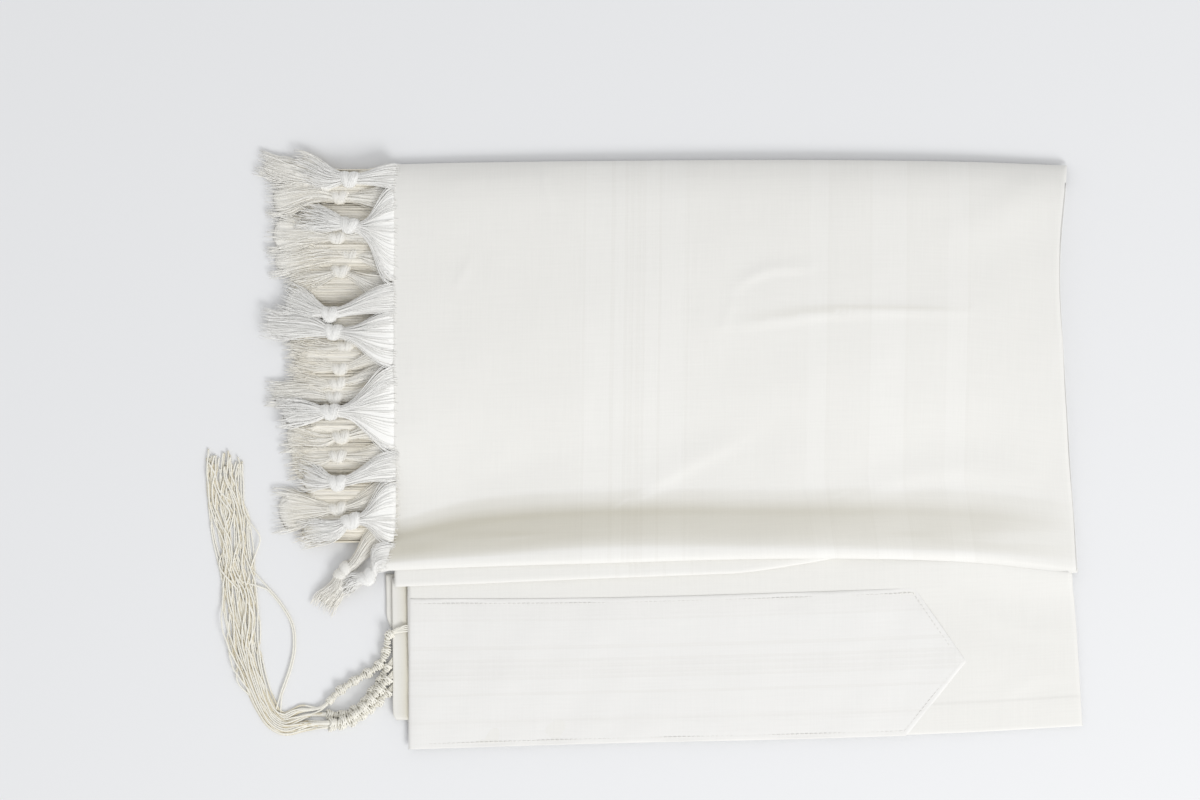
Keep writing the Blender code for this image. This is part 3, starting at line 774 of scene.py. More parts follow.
# Satin and relief of the self stripes, by how far a point is across them
self_stripes, given, given_out = new_group(
    "self_stripes", (("Across", 0.0), ("First", 0.0), ("Wide first", 1.0)), ("Satin", "Relief")
)
found = []
for label, rows, reach in (("First", STRIPES, 0.09), ("Wide first", WIDE_STRIPES, 0.13)):
    place = maths(self_stripes, "SUBTRACT", given["Across"], given[label])
    share = maths(self_stripes, "DIVIDE", maths(self_stripes, "ADD", place, STRIPES_LEAD), reach)
    ramp = add_node(self_stripes, "ValToRGB", {"Fac": share})
    stops = ramp.color_ramp.elements
    ramp.color_ramp.interpolation = "CONSTANT"
    stops[0].color = (*GROUND, 0.0, 1.0)
    stops.remove(stops[1])
    for start, weave in rows:
        stops.new((start / 1000.0 + STRIPES_LEAD) / reach).color = (*weave, 0.0, 1.0)
    found.append(add_node(self_stripes, "SeparateColor", {"Color": ramp.outputs["Color"]}).outputs)
for index, label in enumerate(("Satin", "Relief")):
    both = maths(self_stripes, "ADD", found[0][index], found[1][index])
    connect(self_stripes, given_out, {label: maths(self_stripes, "SUBTRACT", both, GROUND[index])})

# Plain weave of fine wool: crossing threads, thicker and thinner stretches of yarn
wool_weave, given, given_out = new_group(
    "wool_weave", (("Across", 0.0), ("Down", 0.0), ("Thread", 0.00055)), ("Height", "Slub")
)
waves = []
slubs = []
for label, wide, long in (("Across", 900.0, 30.0), ("Down", 30.0, 900.0)):
    turns = maths(wool_weave, "DIVIDE", given[label], given["Thread"])
    waves.append(maths(wool_weave, "SINE", maths(wool_weave, "MULTIPLY", turns, WHOLE_TURN)))
    across = maths(wool_weave, "MULTIPLY", given["Across"], wide)
    down = maths(wool_weave, "MULTIPLY", given["Down"], long)
    slubs.append(streaks(wool_weave, across, down))
slub = maths(wool_weave, "MULTIPLY", maths(wool_weave, "ADD", *slubs), 0.5)
height = maths(wool_weave, "MULTIPLY_ADD", maths(wool_weave, "MULTIPLY", *waves), 0.18, slub)
connect(wool_weave, given_out, {"Height": height, "Slub": slub})


def wool_finish(name, ground, satin, first, wide_first, along_band=False):
    """White wool with self stripes: ground and satin colour, and where the stripes begin. Painted
    shade is multiplied in where a piece is marked for it.
    """
    made, tree, shader = finish_of(name, ground, 0.85, sheen=0.10, specular=0.3)
    across, down = uv_places(tree)
    if along_band:
        across, down = down, across
    places = {"Across": across, "First": first, "Wide first": wide_first}
    stripes = add_node(tree, "Group", places, node_tree=self_stripes).outputs
    places = {"Across": across, "Down": down}
    weave = add_node(tree, "Group", places, node_tree=wool_weave).outputs
    colour = blend(tree, stripes["Satin"], ground, satin)
    # painted shade: a warmer, darker colour multiplied in where the piece is marked
    colour = with_painted_shade(tree, colour, (0.80, 0.775, 0.69))
    thread = maths(tree, "MULTIPLY_ADD", weave["Slub"], 0.10, 0.95)
    grey = add_node(tree, "CombineColor", enumerate([thread] * 3)).outputs["Color"]
    rough = maths(tree, "MULTIPLY_ADD", stripes["Satin"], -0.30, 0.90)
    connect(tree, shader, {"Roughness": rough})
    relief = maths(tree, "MULTIPLY_ADD", stripes["Relief"], 0.6, weave["Height"])
    surface(tree, shader, blend(tree, 1.0, colour, grey, "MULTIPLY"), relief, 0.35, 0.0002)
    return made


wool = wool_finish(
    "striped_wool", ground=(0.845, 0.835, 0.80), satin=(0.862, 0.853, 0.82),
    first=FIRST_LINE, wide_first=WIDE_FIRST,
)
TOP_COLUMNS = 210
TOP_ROWS = 150
ROLLED_BELOW = 0.0085  # height below which the panel's edges roll down
PANEL_SETTLES = 0.0003
STRIPE_SLANT = 0.0125  # how far the stripes lean, for each metre to the rear
STRIPE_STEP = 0.0085  # how far they are pushed aside in front of the ridge, at the right
top_shares = np.interp(
    np.linspace(0.0, 1.0, TOP_ROWS),
    (0.0, 0.14, 0.42, 0.88, 0.96, 1.0),
    (0.0, 0.045, 0.25, 0.92, 0.975, 1.0),
)
top_grid, top_down = cloth_grid(top_profile, TOP_EDGES, TOP_COLUMNS, top_shares)
lying = np.clip((top_grid[..., 2] - ROLLED_BELOW) / 0.004, 0.0, 1.0)
in_trough = np.interp(top_grid[..., 1], (-0.070, -0.058, 0.090, 0.110), (0.0, 1.0, 1.0, 0.0))
lying = np.maximum(lying, in_trough)
uneven = unevenness(top_grid, TOP_CREASES, 18, ((0.12, 0.0004), (0.045, 0.00012)))
top_grid[..., 2] += uneven * lying - PANEL_SETTLES
top_across = top_grid[..., 0] - STRIPE_SLANT * (top_grid[..., 1] - 0.055)
skew = np.clip((-0.02 - top_grid[..., 1]) / 0.06, 0.0, 1.0)
skew = skew * np.clip((top_grid[..., 0] - 0.02) / 0.08, 0.0, 1.0)
top_across = top_across - STRIPE_STEP * skew
top_panel = cloth_piece("top_panel", top_grid, top_across, top_down, wool)
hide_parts("shawl_top_panel")


# Folded layers underneath.
# The rest of the shawl lies folded under the upper panel: twelve thicknesses at the rear
# and four under the neckband, each with a rounded fold at its edge, none quite in line.
STACK_LAYERS = 12
FRONT_LAYERS = 4
LOBE_STEPS = 4
LOBE = 0.0005  # how far a layer's rounded edge stands out
INSET = 0.0012  # of the layers behind the edge of the cloth over them


def layered_stack(grid, layers, seed):
    """A closed stack under a grid: each layer a rounded lobe at its edge, out of line."""
    draw = np.random.default_rng(seed)
    rows, columns = grid.shape[:2]
    number = np.arange(rows * columns).reshape(rows, columns)
    rim = np.concatenate([number[0], number[1:, -1], number[-1, -2::-1], number[-2:0:-1, 0]])
    edge = grid.reshape(-1, 3)[rim]
    count = len(rim)
    way = unit(np.roll(edge, -1, axis=0) - np.roll(edge, 1, axis=0))
    inward = np.column_stack([-way[:, 1], way[:, 0]])
    circle = WHOLE_TURN * np.arange(count) / count
    vertices = [grid.reshape(-1, 3)]
    rings = [rim]
    for layer in range(layers):
        waves = sum(
            draw.uniform(0.2, 0.6) * np.sin(draw.integers(2, 15) * circle + draw.uniform(0.0, 6.3))
            for _ in range(4)
        )
        out_of_line = 0.0004 * waves + draw.uniform(-0.0002, 0.0005)
        for step in range(1, LOBE_STEPS + 1):
            down = (layer + step / LOBE_STEPS) / layers
            bulge = abs(math.sin(math.pi * step / LOBE_STEPS)) ** 0.6
            inset = INSET + out_of_line - LOBE * bulge
            plan = edge[:, :2] + inward * inset[:, None]
            rings.append(sum(len(part) for part in vertices) + np.arange(count))
            vertices.append(np.column_stack([plan, edge[:, 2] * (1.0 - down)]))
    faces = grid_faces(rows, columns).tolist()
    for above, below in zip(rings, rings[1:]):
        next_above = np.roll(above, -1)
        next_below = np.roll(below, -1)
        faces += np.stack([next_above, above, below, next_below], axis=-1).tolist()
    faces.append(rings[-1][::-1].tolist())
    points = np.concatenate(vertices)
    uv = np.concatenate([points[face][:, :2] + points[face][:, 2:] for face in faces])
    return points, faces, uv


def lowered(profile, first, last, drop):
    """A profile's points from first to last, lowered to lie under the cloth over them."""

    def under(s):
        return [(y, z - drop) for y, z in profile(s)[first:last]]

    return under


NECK_EDGES = (
    Edge(-0.2100, -0.1815, 0.2900),
    Edge(-0.1900, -0.1815, 0.2890),
    Edge(-0.1300, -0.1838, 0.2854),
    Edge(-0.1060, -0.1842, 0.2835),
    Edge(-0.0980, -0.1842, 0.2825),
    Edge(-0.0880, -0.1842, 0.2819),
)
NECK_TOP = 0.0049
HEM = 0.021
HEM_STEP = 0.0003
HIDDEN_LEFT = -0.1720


def neck_profile(s):
    """The stretch under the neckband, from its hemmed edge back under the second fold."""
    return (
        (s.hem + 0.0012, NECK_TOP - 0.0017),
        (s.hem + 0.0001, NECK_TOP - 0.0010),
        (s.hem + 0.0006, NECK_TOP - 0.0003),
        (s.hem + 0.0030, NECK_TOP),
        (s.hem + HEM - 0.0004, NECK_TOP),
        (s.hem + HEM + 0.0008, NECK_TOP - HEM_STEP),
        (-0.150, NECK_TOP - HEM_STEP),
        (-0.107, NECK_TOP - HEM_STEP),
        (s.front - 0.0010, NECK_TOP - HEM_STEP + NECK_RISES * closed_by(s.u)),
        (s.front + 0.0020, NECK_TOP - HEM_STEP + NECK_RISES * closed_by(s.u)),
    )


REAR_CLEARANCE = 0.0014
FRONT_CLEARANCE = 0.0012
STACK_ROLL = 0.0006
rear_profile = lowered(top_profile, 3, 20, REAR_CLEARANCE)
rear_under, _ = cloth_grid(
    rear_profile, TOP_EDGES, 110, np.linspace(0.0, 1.0, 60), 0, STACK_ROLL
)
rear_under = rear_under[:-3]
rear_under[..., 2] += 0.5 * unevenness(rear_under, TOP_CREASES)
hidden_edges = [Edge(row.y, HIDDEN_LEFT, row.right) for row in NECK_EDGES]
front_profile = lowered(neck_profile, 3, 9, FRONT_CLEARANCE)
front_under, _ = cloth_grid(
    front_profile, hidden_edges, 90, np.linspace(0.0, 1.0, 24), 0, STACK_ROLL
)
folded_layers = piece(
    "folded_layers",
    [
        layered_stack(rear_under, STACK_LAYERS, 3),
        layered_stack(front_under, FRONT_LAYERS, 5),
    ],
    wool,
)
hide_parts("shawl_hidden_layers")


# Neck panel of the shawl.
# The stretch that the neckband is sewn to, with the narrow hem of the shawl's long side.
neck_shares = np.interp(
    np.linspace(0.0, 1.0, 64), (0.0, 0.16, 0.30, 0.42, 1.0), (0.0, 0.045, 0.17, 0.22, 1.0)
)
neck_grid, neck_down = cloth_grid(neck_profile, NECK_EDGES, 150, neck_shares)
NECK_CREASES = (
    Crease(((0.1950, -0.1000), (0.2400, -0.1250), (0.2850, -0.1300)), 0.0005, 0.0060, 0.0100),
    Crease(((0.2300, -0.1750), (0.2600, -0.1600), (0.2850, -0.1620)), 0.0004, 0.0050, 0.0080),
)
neck_rise = unevenness(neck_grid, NECK_CREASES, 7, ((0.07, 0.0003), (0.03, 0.0001)))
neck_grid[..., 2] += neck_rise * np.clip((neck_grid[..., 0] - 0.15) / 0.06, 0.0, 1.0)
neck_across = neck_grid[..., 0] + 0.5
neck_panel = cloth_piece("neck_panel", neck_grid, neck_across, neck_down, wool)
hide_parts("shawl_neck_panel")


# Second fold.
# The next fold of the shawl, of which a narrow strip shows in front of the upper panel.
SECOND_FLOOR = 0.0052
SECOND_LEFT = -0.1930
SECOND_RIGHT = 0.1250
SECOND_CLOSES_FROM = 0.50  # where it begins to draw back under the upper panel, as Section's u
SECOND_CLOSES_OVER = 0.16


def second_profile(s):
    """A rounded nose in front, going back under the upper panel's front fold."""
    rise = SECOND_TOP - SECOND_FLOOR
    return (
        (s.second + 0.0030, SECOND_FLOOR + 0.0001),
        (s.second + 0.0007, SECOND_FLOOR + 0.0006),
        (s.second, SECOND_FLOOR + 0.45 * rise),
        (s.second + 0.0009, SECOND_FLOOR + 0.86 * rise),
        (s.second + 0.0034, SECOND_TOP),
        (s.front + 0.0040, SECOND_TOP - 0.0002),
    )


SECOND_COLUMNS = 150
second_x = np.linspace(SECOND_LEFT, SECOND_RIGHT, SECOND_COLUMNS)
second_u = (second_x - PANEL_LEFT) / (PANEL_RIGHT - PANEL_LEFT)
second_shares = np.interp(np.linspace(0.0, 1.0, 22), (0.0, 0.65, 1.0), (0.0, 0.5, 1.0))
second_grid = np.zeros((len(second_shares), SECOND_COLUMNS, 3))
second_grid[..., 0] = second_x
for column, row in enumerate(smooth(SECTIONS, second_u)):
    section = Section(*row)
    closing = min(1.0, max(0.0, (second_u[column] - SECOND_CLOSES_FROM) / SECOND_CLOSES_OVER))
    ahead = section.second + (section.front + 0.0006 - section.second) * closing**1.5
    points = np.array(second_profile(section._replace(second=ahead)))
    at = lengths_along(points)
    curve = smooth(np.column_stack([at, points]), second_shares * at[-1])
    second_grid[:, column, 1:] = curve[:, 1:]
second_down = np.stack([lengths_along(column) for column in second_grid.swapaxes(0, 1)], axis=1)
second_across = second_grid[..., 0] - 0.0040 + 0.003 * (second_grid[..., 0] > 0.05)
second_fold = cloth_piece("second_fold", second_grid, second_across, second_down, wool)
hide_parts("shawl_second_fold")


# Corners of the shawl at the left.
# Two corners reach out from between the layers at the neck fold, each a hemmed strip with
# a rounded edge.
CORNER_RIGHT = -0.1726
CORNER_THICK = 0.0014
Corner = namedtuple("Corner", "name floor edge")
CORNERS = (  # edge: y, and x of the corner's left edge there
    Corner("upper", 0.0022, (
        (-0.1905, -0.1918), (-0.1870, -0.1942), (-0.1500, -0.1945), (-0.0900, -0.1952)
    )),
    Corner("lower", 0.0000, (
        (-0.1260, -0.1962), (-0.1180, -0.1988), (-0.1080, -0.1991), (-0.0880, -0.1996)
    )),
)
# Across a corner strip: millimetres from its left edge, share of its thickness, and share of
# painted shade
Hem = namedtuple("Hem", "aside lift warmth")
CORNER_HEM = (
    Hem(0.9, 0.1, 0.9), Hem(0.5, 0.0, 0.8), Hem(0.0, 0.25, 0.6), Hem(0.0, 0.65, 0.4),
    Hem(0.15, 0.88, 0.2), Hem(0.5, 0.97, 0.1), Hem(1.1, 1.0, 0.0), Hem(2.0, 1.0, 0.0),
    Hem(3.5, 1.0, 0.1), Hem(5.5, 0.97, 0.3), Hem(7.6, 0.8, 0.6), Hem(8.8, 0.45, 0.8),
    Hem(9.6, 0.1, 1.0), Hem(18.0, 0.0, 1.0),
)
for name, floor, edge in CORNERS:
    places = np.linspace(edge[0][0], edge[-1][0], 48)
    left = smooth(edge, places)[:, 1]
    grid = np.zeros((len(places), len(CORNER_HEM), 3))
    ends = np.minimum(places - places[0], places[-1] - places)
    rounded = 0.4 + 0.6 * np.clip(ends / 0.0015, 0.0, 1.0) ** 0.5
    for column, hem in enumerate(CORNER_HEM):
        grid[:, column, 0] = np.minimum(left + hem.aside / 1000.0, CORNER_RIGHT)
        grid[:, column, 1] = places
        grid[:, column, 2] = floor + CLOTH + hem.lift * CORNER_THICK * rounded
    grid[..., 2] += 0.00012 * np.sin(places * 260.0)[:, None]
    down = grid[..., 0] - grid[0, 0, 0]
    # painted shade across the strip: most under its rounded edge and where it goes under the
    # neckband, a little all over
    warmth = 0.15 + 0.85 * np.array([hem.warmth for hem in CORNER_HEM])
    across = np.broadcast_to(places[:, None], down.shape)
    corner = cloth_piece(f"corner_{name}", grid, across, down, wool, warmth=warmth)
    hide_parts(f"shawl_corner_{name}")


# Neckband (atarah).
# A band of the same cloth with its stripes lengthwise, its edges turned under, pointed at
# its end, topstitched to the shawl all round and turned over the neck fold at the left.
BandEdge = namedtuple("BandEdge", "x lower upper")
BAND_EDGES = (
    BandEdge(-0.1836, -0.2110, -0.1054),
    BandEdge(-0.0500, -0.2069, -0.1046),
    BandEdge(0.0900, -0.2037, -0.1008),
    BandEdge(0.2077, -0.2000, -0.0962),
)
BAND_LEFT = -0.1836
BAND_POINT = 0.2077
BAND_SHOULDER_LOWER = 0.1655
BAND_SHOULDER_UPPER = 0.1713
POINT_SHARE = 0.49  # place of the point across the band
BAND_ROLL = 0.0023
BAND_TOP = 0.0055
BAND_THICKNESS = 0.0005
TURNED_EDGE = 0.0004  # how far the turned edge comes down
TURNED_OVER = 0.0015  # width over which it does
STITCH_INSET = 0.0035
STITCH = 0.0024
STITCH_PITCH = 0.0033
STITCH_SINKS = 0.0004
STITCH_ARCH = 0.00028
THREAD = 0.00042


def band_end(share):
    """x where the band ends, at a share across it."""
    lower = share / POINT_SHARE
    upper = (1.0 - share) / (1.0 - POINT_SHARE)
    at_lower = BAND_SHOULDER_LOWER + (BAND_POINT - BAND_SHOULDER_LOWER) * lower
    at_upper = BAND_SHOULDER_UPPER + (BAND_POINT - BAND_SHOULDER_UPPER) * upper
    return np.where(share < POINT_SHARE, at_lower, at_upper)


NEAR = np.array((0.0, 0.0003, 0.0007, 0.0012, 0.0025, 0.0031, 0.0035, 0.0039, 0.0046))
BAND_WIDTH = 0.1056
WIDTH_AT_POINT = 0.1038
SEAM_SINKS = 0.00007
PUCKER = 0.0001
PUCKER_EVERY = 0.011
BAND_COLUMNS = 150
NEXT = NEAR[-1] * 1.6  # how far from an edge the even spacing of rows and columns begins
band_shares = np.concatenate([NEAR, np.linspace(NEXT, BAND_WIDTH - NEXT, 26), BAND_WIDTH - NEAR])
band_shares = np.sort(np.append(band_shares / BAND_WIDTH, POINT_SHARE))
roll_turns = np.linspace(0.0, math.pi / 2.0, 6)[:-1]
rolled = BAND_LEFT + BAND_ROLL * (1.0 - np.cos(roll_turns))
band_grid = np.full((len(band_shares), len(rolled) + BAND_COLUMNS + len(NEAR), 3), BAND_TOP)
band_grid[:, : len(rolled), 2] -= BAND_ROLL * (1.0 - np.sin(roll_turns))
for row, share in enumerate(band_shares):
    end = float(band_end(share))
    middle = np.linspace(BAND_LEFT + BAND_ROLL, end - NEXT, BAND_COLUMNS)
    x = np.concatenate([rolled, middle, end - NEAR[::-1]])
    _, lower, upper = smooth(BAND_EDGES, x).T
    band_grid[row, :, 0] = x
    band_grid[row, :, 1] = lower + (upper - lower) * share
band_places = band_grid[..., :2].reshape(-1, 2)
edge_rows = smooth(BAND_EDGES, band_places[:, 0])
slope_lower = (BAND_POINT - BAND_SHOULDER_LOWER) / (POINT_SHARE * WIDTH_AT_POINT)
slope_upper = (BAND_POINT - BAND_SHOULDER_UPPER) / ((1.0 - POINT_SHARE) * WIDTH_AT_POINT)
to_lower = band_places[:, 1] - edge_rows[:, 1]
to_upper = edge_rows[:, 2] - band_places[:, 1]
share_here = to_lower / (to_lower + to_upper)
to_end = (band_end(share_here) - band_places[:, 0]) / np.where(
    share_here < POINT_SHARE, math.hypot(1.0, slope_lower), math.hypot(1.0, slope_upper)
)
inside = np.minimum(np.minimum(to_lower, to_upper), to_end)
turned = TURNED_EDGE * (1.0 - np.clip(inside / TURNED_OVER, 0.0, 1.0)) ** 2
sewn = SEAM_SINKS * np.exp(-(((inside - STITCH_INSET) / 0.0009) ** 2))
pucker = PUCKER * np.sin(band_places[:, 0] * WHOLE_TURN / PUCKER_EVERY)
pucker = pucker * np.exp(-inside / 0.006)
band_waves = soft_waves(band_places, 11, ((0.09, 0.0003), (0.03, 0.0001)))
band_rise = (band_waves + pucker) * np.clip(inside / 0.002, 0.0, 1.0) - turned - sewn
band_rise *= np.clip((band_places[:, 0] - BAND_LEFT) / 0.006, 0.0, 1.0)
band_grid[..., 2] += band_rise.reshape(band_grid.shape[:2]) - 0.0002
band_across = band_grid[..., 0]
band_down = np.broadcast_to((1.0 - band_shares[:, None]) * BAND_WIDTH, band_across.shape)
band_wool = wool_finish(
    "neckband_wool", ground=(0.845, 0.835, 0.81), satin=(0.86, 0.852, 0.83),
    first=0.0125, wide_first=0.0900, along_band=True,
)
neckband = cloth_piece(
    "neckband", band_grid, band_across, band_down, band_wool, BAND_THICKNESS
)
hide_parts("atarah_neckband")

# Topstitching: short stitches a little inside the turned edges, from the neck fold along the
# upper edge, round the point and back
upper_x = np.linspace(BAND_LEFT + 0.004, BAND_SHOULDER_UPPER - 0.0012, 120)
lower_x = np.linspace(BAND_SHOULDER_LOWER - 0.0012, BAND_LEFT + 0.004, 120)
tip_x = BAND_POINT - STITCH_INSET * math.hypot(1.0, slope_upper) - 0.0001
_, tip_lower, tip_upper = smooth(BAND_EDGES, np.array((tip_x,)))[0]
outline = np.concatenate(
    [
        np.column_stack([upper_x, smooth(BAND_EDGES, upper_x)[:, 2] - STITCH_INSET]),
        [(tip_x, tip_lower + (tip_upper - tip_lower) * POINT_SHARE)],
        np.column_stack([lower_x, smooth(BAND_EDGES, lower_x)[:, 1] + STITCH_INSET]),
    ]
)
outline_at = lengths_along(outline)
stitch_starts = np.arange(0.0, outline_at[-1] - STITCH, STITCH_PITCH)
stitch_bits = stitch_starts[:, None] + np.linspace(0.0, STITCH, 4)
stitch_x = np.interp(stitch_bits, outline_at, outline[:, 0])
stitch_y = np.interp(stitch_bits, outline_at, outline[:, 1])
stitch_z = BAND_TOP - STITCH_SINKS + STITCH_ARCH * np.sin(np.linspace(0.15, math.pi - 0.15, 4))
stitch_z = np.broadcast_to(stitch_z, stitch_x.shape)
band_stitches = piece(
    "neckband_stitches",
    [strands(np.stack([stitch_x, stitch_y, stitch_z], axis=-1), THREAD / 2.0, 6)],
    yarn_finish("sewing_thread", (0.88, 0.87, 0.84), (0.80, 0.79, 0.75), 0.001, 0.00005),
)


# Knotted fringe.
# The warp ends are left long and tied in bunches with overhand knots close to the cloth's
# edge. Two layers show: the upper panel's own, and that of the layer folded under it.
Tassel = namedtuple("Tassel", "layer rear front knot_x knot_y tip_x tip_y half_spread bow bulge")
TASSELS = (
    Tassel("lower", 0.1980, 0.1850, -0.2410, 0.1850, -0.2900, 0.2010, 0.0080, 0.000, 0.40),
    Tassel("upper", 0.1988, 0.1830, -0.2242, 0.1882, -0.2662, 0.1990, 0.0105, 0.001, 0.40),
    Tassel("lower", 0.1850, 0.1650, -0.2312, 0.1765, -0.2840, 0.1750, 0.0130, -0.003, 0.40),
    Tassel("upper", 0.1830, 0.1150, -0.2245, 0.1560, -0.2613, 0.1640, 0.0100, 0.000, 0.30),
    Tassel("lower", 0.1650, 0.1400, -0.2330, 0.1475, -0.2840, 0.1515, 0.0145, -0.002, 0.45),
    Tassel("lower", 0.1400, 0.1220, -0.2242, 0.1355, -0.2823, 0.1300, 0.0090, -0.003, 0.45),
    Tassel("lower", 0.1220, 0.0950, -0.2305, 0.1240, -0.2710, 0.1110, 0.0130, 0.004, 0.45),
    Tassel("upper", 0.1150, 0.0955, -0.2380, 0.0938, -0.2735, 0.1075, 0.0110, 0.000, 0.35),
    Tassel("upper", 0.0955, 0.0575, -0.2355, 0.0815, -0.2880, 0.0885, 0.0095, -0.003, 0.40),
    Tassel("lower", 0.0950, 0.0760, -0.2270, 0.0715, -0.2715, 0.0725, 0.0090, 0.002, 0.45),
    Tassel("lower", 0.0760, 0.0600, -0.2310, 0.0560, -0.2685, 0.0640, 0.0095, 0.002, 0.45),
    Tassel("lower", 0.0600, 0.0480, -0.2325, 0.0450, -0.2705, 0.0452, 0.0105, 0.001, 0.45),
    Tassel("lower", 0.0480, 0.0300, -0.2350, 0.0355, -0.2840, 0.0385, 0.0085, -0.002, 0.45),
    Tassel("upper", 0.0575, -0.0025, -0.2375, 0.0255, -0.2765, 0.0245, 0.0095, 0.001, 0.30),
    Tassel("lower", 0.0300, 0.0050, -0.2300, 0.0080, -0.2740, 0.0085, 0.0115, 0.003, 0.45),
    Tassel("lower", 0.0050, -0.0180, -0.2325, -0.0055, -0.2705, -0.0100, 0.0125, 0.003, 0.45),
    Tassel("upper", -0.0025, -0.0220, -0.2325, -0.0242, -0.2622, -0.0165, 0.0110, -0.001, 0.40),
    Tassel("lower", -0.0180, -0.0480, -0.2325, -0.0425, -0.2795, -0.0440, 0.0150, 0.000, 0.45),
    Tassel("upper", -0.0220, -0.0662, -0.2228, -0.0508, -0.2615, -0.0612, 0.0095, 0.002, 0.40),
    Tassel("lower", -0.0480, -0.0700, -0.2284, -0.0865, -0.2450, -0.1140, 0.0080, 0.001, 0.55),
    Tassel("upper", -0.0662, -0.0850, -0.2115, -0.0900, -0.2335, -0.0985, 0.0060, 0.000, 0.95),
)
YARN = 0.00046  # thickness of one yarn
RIDGE = 0.00020  # how far the yarns of a bunch stand out from it
ROOT_STEPS = 12
TAIL_STEPS = 13
KNOT_SIDE = 0.0003  # least height of a knot's yarns
KNOT_HALF = 0.0040  # half the length of a knot along its yarns
BUNCH = 0.0030  # radius of the bunched yarns beside a knot
WRAP_STEPS = 26
WRAP_SIDES = 22
WRAP_YARNS = 9
WRAP_WIDE = 0.0042  # half the width of a knot's turn, and half its thickness
WRAP_HIGH = 0.0026
Height = namedtuple("Height", "root knot tip broad")
HEIGHTS = {
    "upper": Height(1.0, 0.0100, 0.0046, 1.0),
    "lower": Height(0.60, 0.0050, 0.0017, 1.0),
    "deep": Height(0.40, 0.0042, 0.0014, 3.9),
}
DEEP_TASSELS = 11  # of the layers below, of which little shows between the others
DEEP_REAR = 0.1950
DEEP_SPAN = 0.0236


# Many yarns side by side along a bunch: fine uneven lines, deeper ones here and there
bunched_yarn, given, given_out = new_group(
    "bunched_yarn", (("Around", 0.0), ("Along", 0.0), ("Lines", 60.0)), ("Height", "Upper")
)
lines = []
for share in (1.0, 0.35):
    often = maths(bunched_yarn, "MULTIPLY", given["Lines"], share)
    around = maths(bunched_yarn, "MULTIPLY", given["Around"], often)
    along = maths(bunched_yarn, "MULTIPLY", given["Along"], 60.0)
    lines.append(streaks(bunched_yarn, around, along))
# Upper: 1 on a bunch's top and 0 on its flanks and underside, where painted shade goes
turn = maths(bunched_yarn, "SINE", maths(bunched_yarn, "MULTIPLY", given["Around"], WHOLE_TURN))
upper = maths(bunched_yarn, "MINIMUM", maths(bunched_yarn, "MULTIPLY_ADD", turn, 1.1, 0.55), 1.0)
upper = maths(bunched_yarn, "MAXIMUM", upper, 0.0)
connect(bunched_yarn, given_out, {"Height": maths(bunched_yarn, "ADD", *lines), "Upper": upper})
FRINGE_PAINTED_SHADE = (0.93, 0.875, 0.75)  # painted shade, multiplied into wool that lies low in the fringe


def bunch_finish(name, light, deep, lines=70.0):
    """A bunch of wool yarns: pale on top, with painted shade making its flanks and underside warmer
    and darker, and more painted shade where it is marked.
    """
    made, tree, shader = finish_of(name, light, 0.85, sheen=0.15, specular=0.25)
    around, along = uv_places(tree)
    places = {"Around": around, "Along": along, "Lines": lines}
    bunch = add_node(tree, "Group", places, node_tree=bunched_yarn).outputs
    colour = with_painted_shade(tree, blend(tree, bunch["Upper"], deep, light), FRINGE_PAINTED_SHADE)
    surface(tree, shader, colour, bunch["Height"], 0.7, 0.0009)
    return made


def fringe_finishes(name, yarn, bunch, lines=70.0):
    """The finishes of a layer's single yarns and of its bunches, each by two colours."""
    yarn = yarn_finish(f"{name}_yarn", *yarn, 0.003, 0.0001, FRINGE_PAINTED_SHADE)
    return yarn, bunch_finish(f"{name}_bunch", *bunch, lines)


# The lower and deep layers are the same wool as the upper; their warmer colours are painted shade
# for lying lower. Each bunch's second colour is the painted shade of its flanks.
FRINGE_LOOKS = {
    "upper": fringe_finishes(
        "fringe",
        ((0.97, 0.965, 0.945), (0.95, 0.94, 0.91)),
        ((0.96, 0.955, 0.93), (0.88, 0.82, 0.68)),
    ),
    "lower": fringe_finishes(
        "under_fringe",
        ((0.97, 0.96, 0.93), (0.95, 0.93, 0.87)),
        ((0.96, 0.945, 0.90), (0.88, 0.80, 0.62)),
    ),
    "deep": fringe_finishes(
        "deep_fringe",
        ((0.97, 0.95, 0.90), (0.95, 0.92, 0.84)),
        ((0.96, 0.94, 0.885), (0.90, 0.83, 0.69)),
        150.0,
    ),
}


def loft(lines):
    """A closed tube through lines that lie side by side round it: (sides, steps, 3)."""
    sides, steps = lines.shape[:2]
    number = np.arange(sides * steps).reshape(sides, steps)
    beside = np.roll(number, -1, axis=0)
    walls = np.stack([number[:, :-1], beside[:, :-1], beside[:, 1:], number[:, 1:]], axis=-1)
    faces = walls.reshape(-1, 4).tolist() + [number[::-1, 0].tolist(), number[:, -1].tolist()]
    at = np.mean([lengths_along(line) for line in lines], axis=0)
    low = np.broadcast_to((np.arange(sides) / sides)[:, None], (sides, steps - 1))
    high = low + 1.0 / sides
    near = at[:-1]
    far = at[1:]
    uv = corner_uvs((low, near), (high, near), (high, far), (low, far))
    return lines.reshape(-1, 3), faces, np.concatenate([uv, np.zeros((2 * sides, 2)) + 0.25])


cloth_edge = top_grid[top_grid[:, 0, 2] > 0.0095, 0, 1:]
edge_y, edge_z = cloth_edge[np.argsort(cloth_edge[:, 0])].T


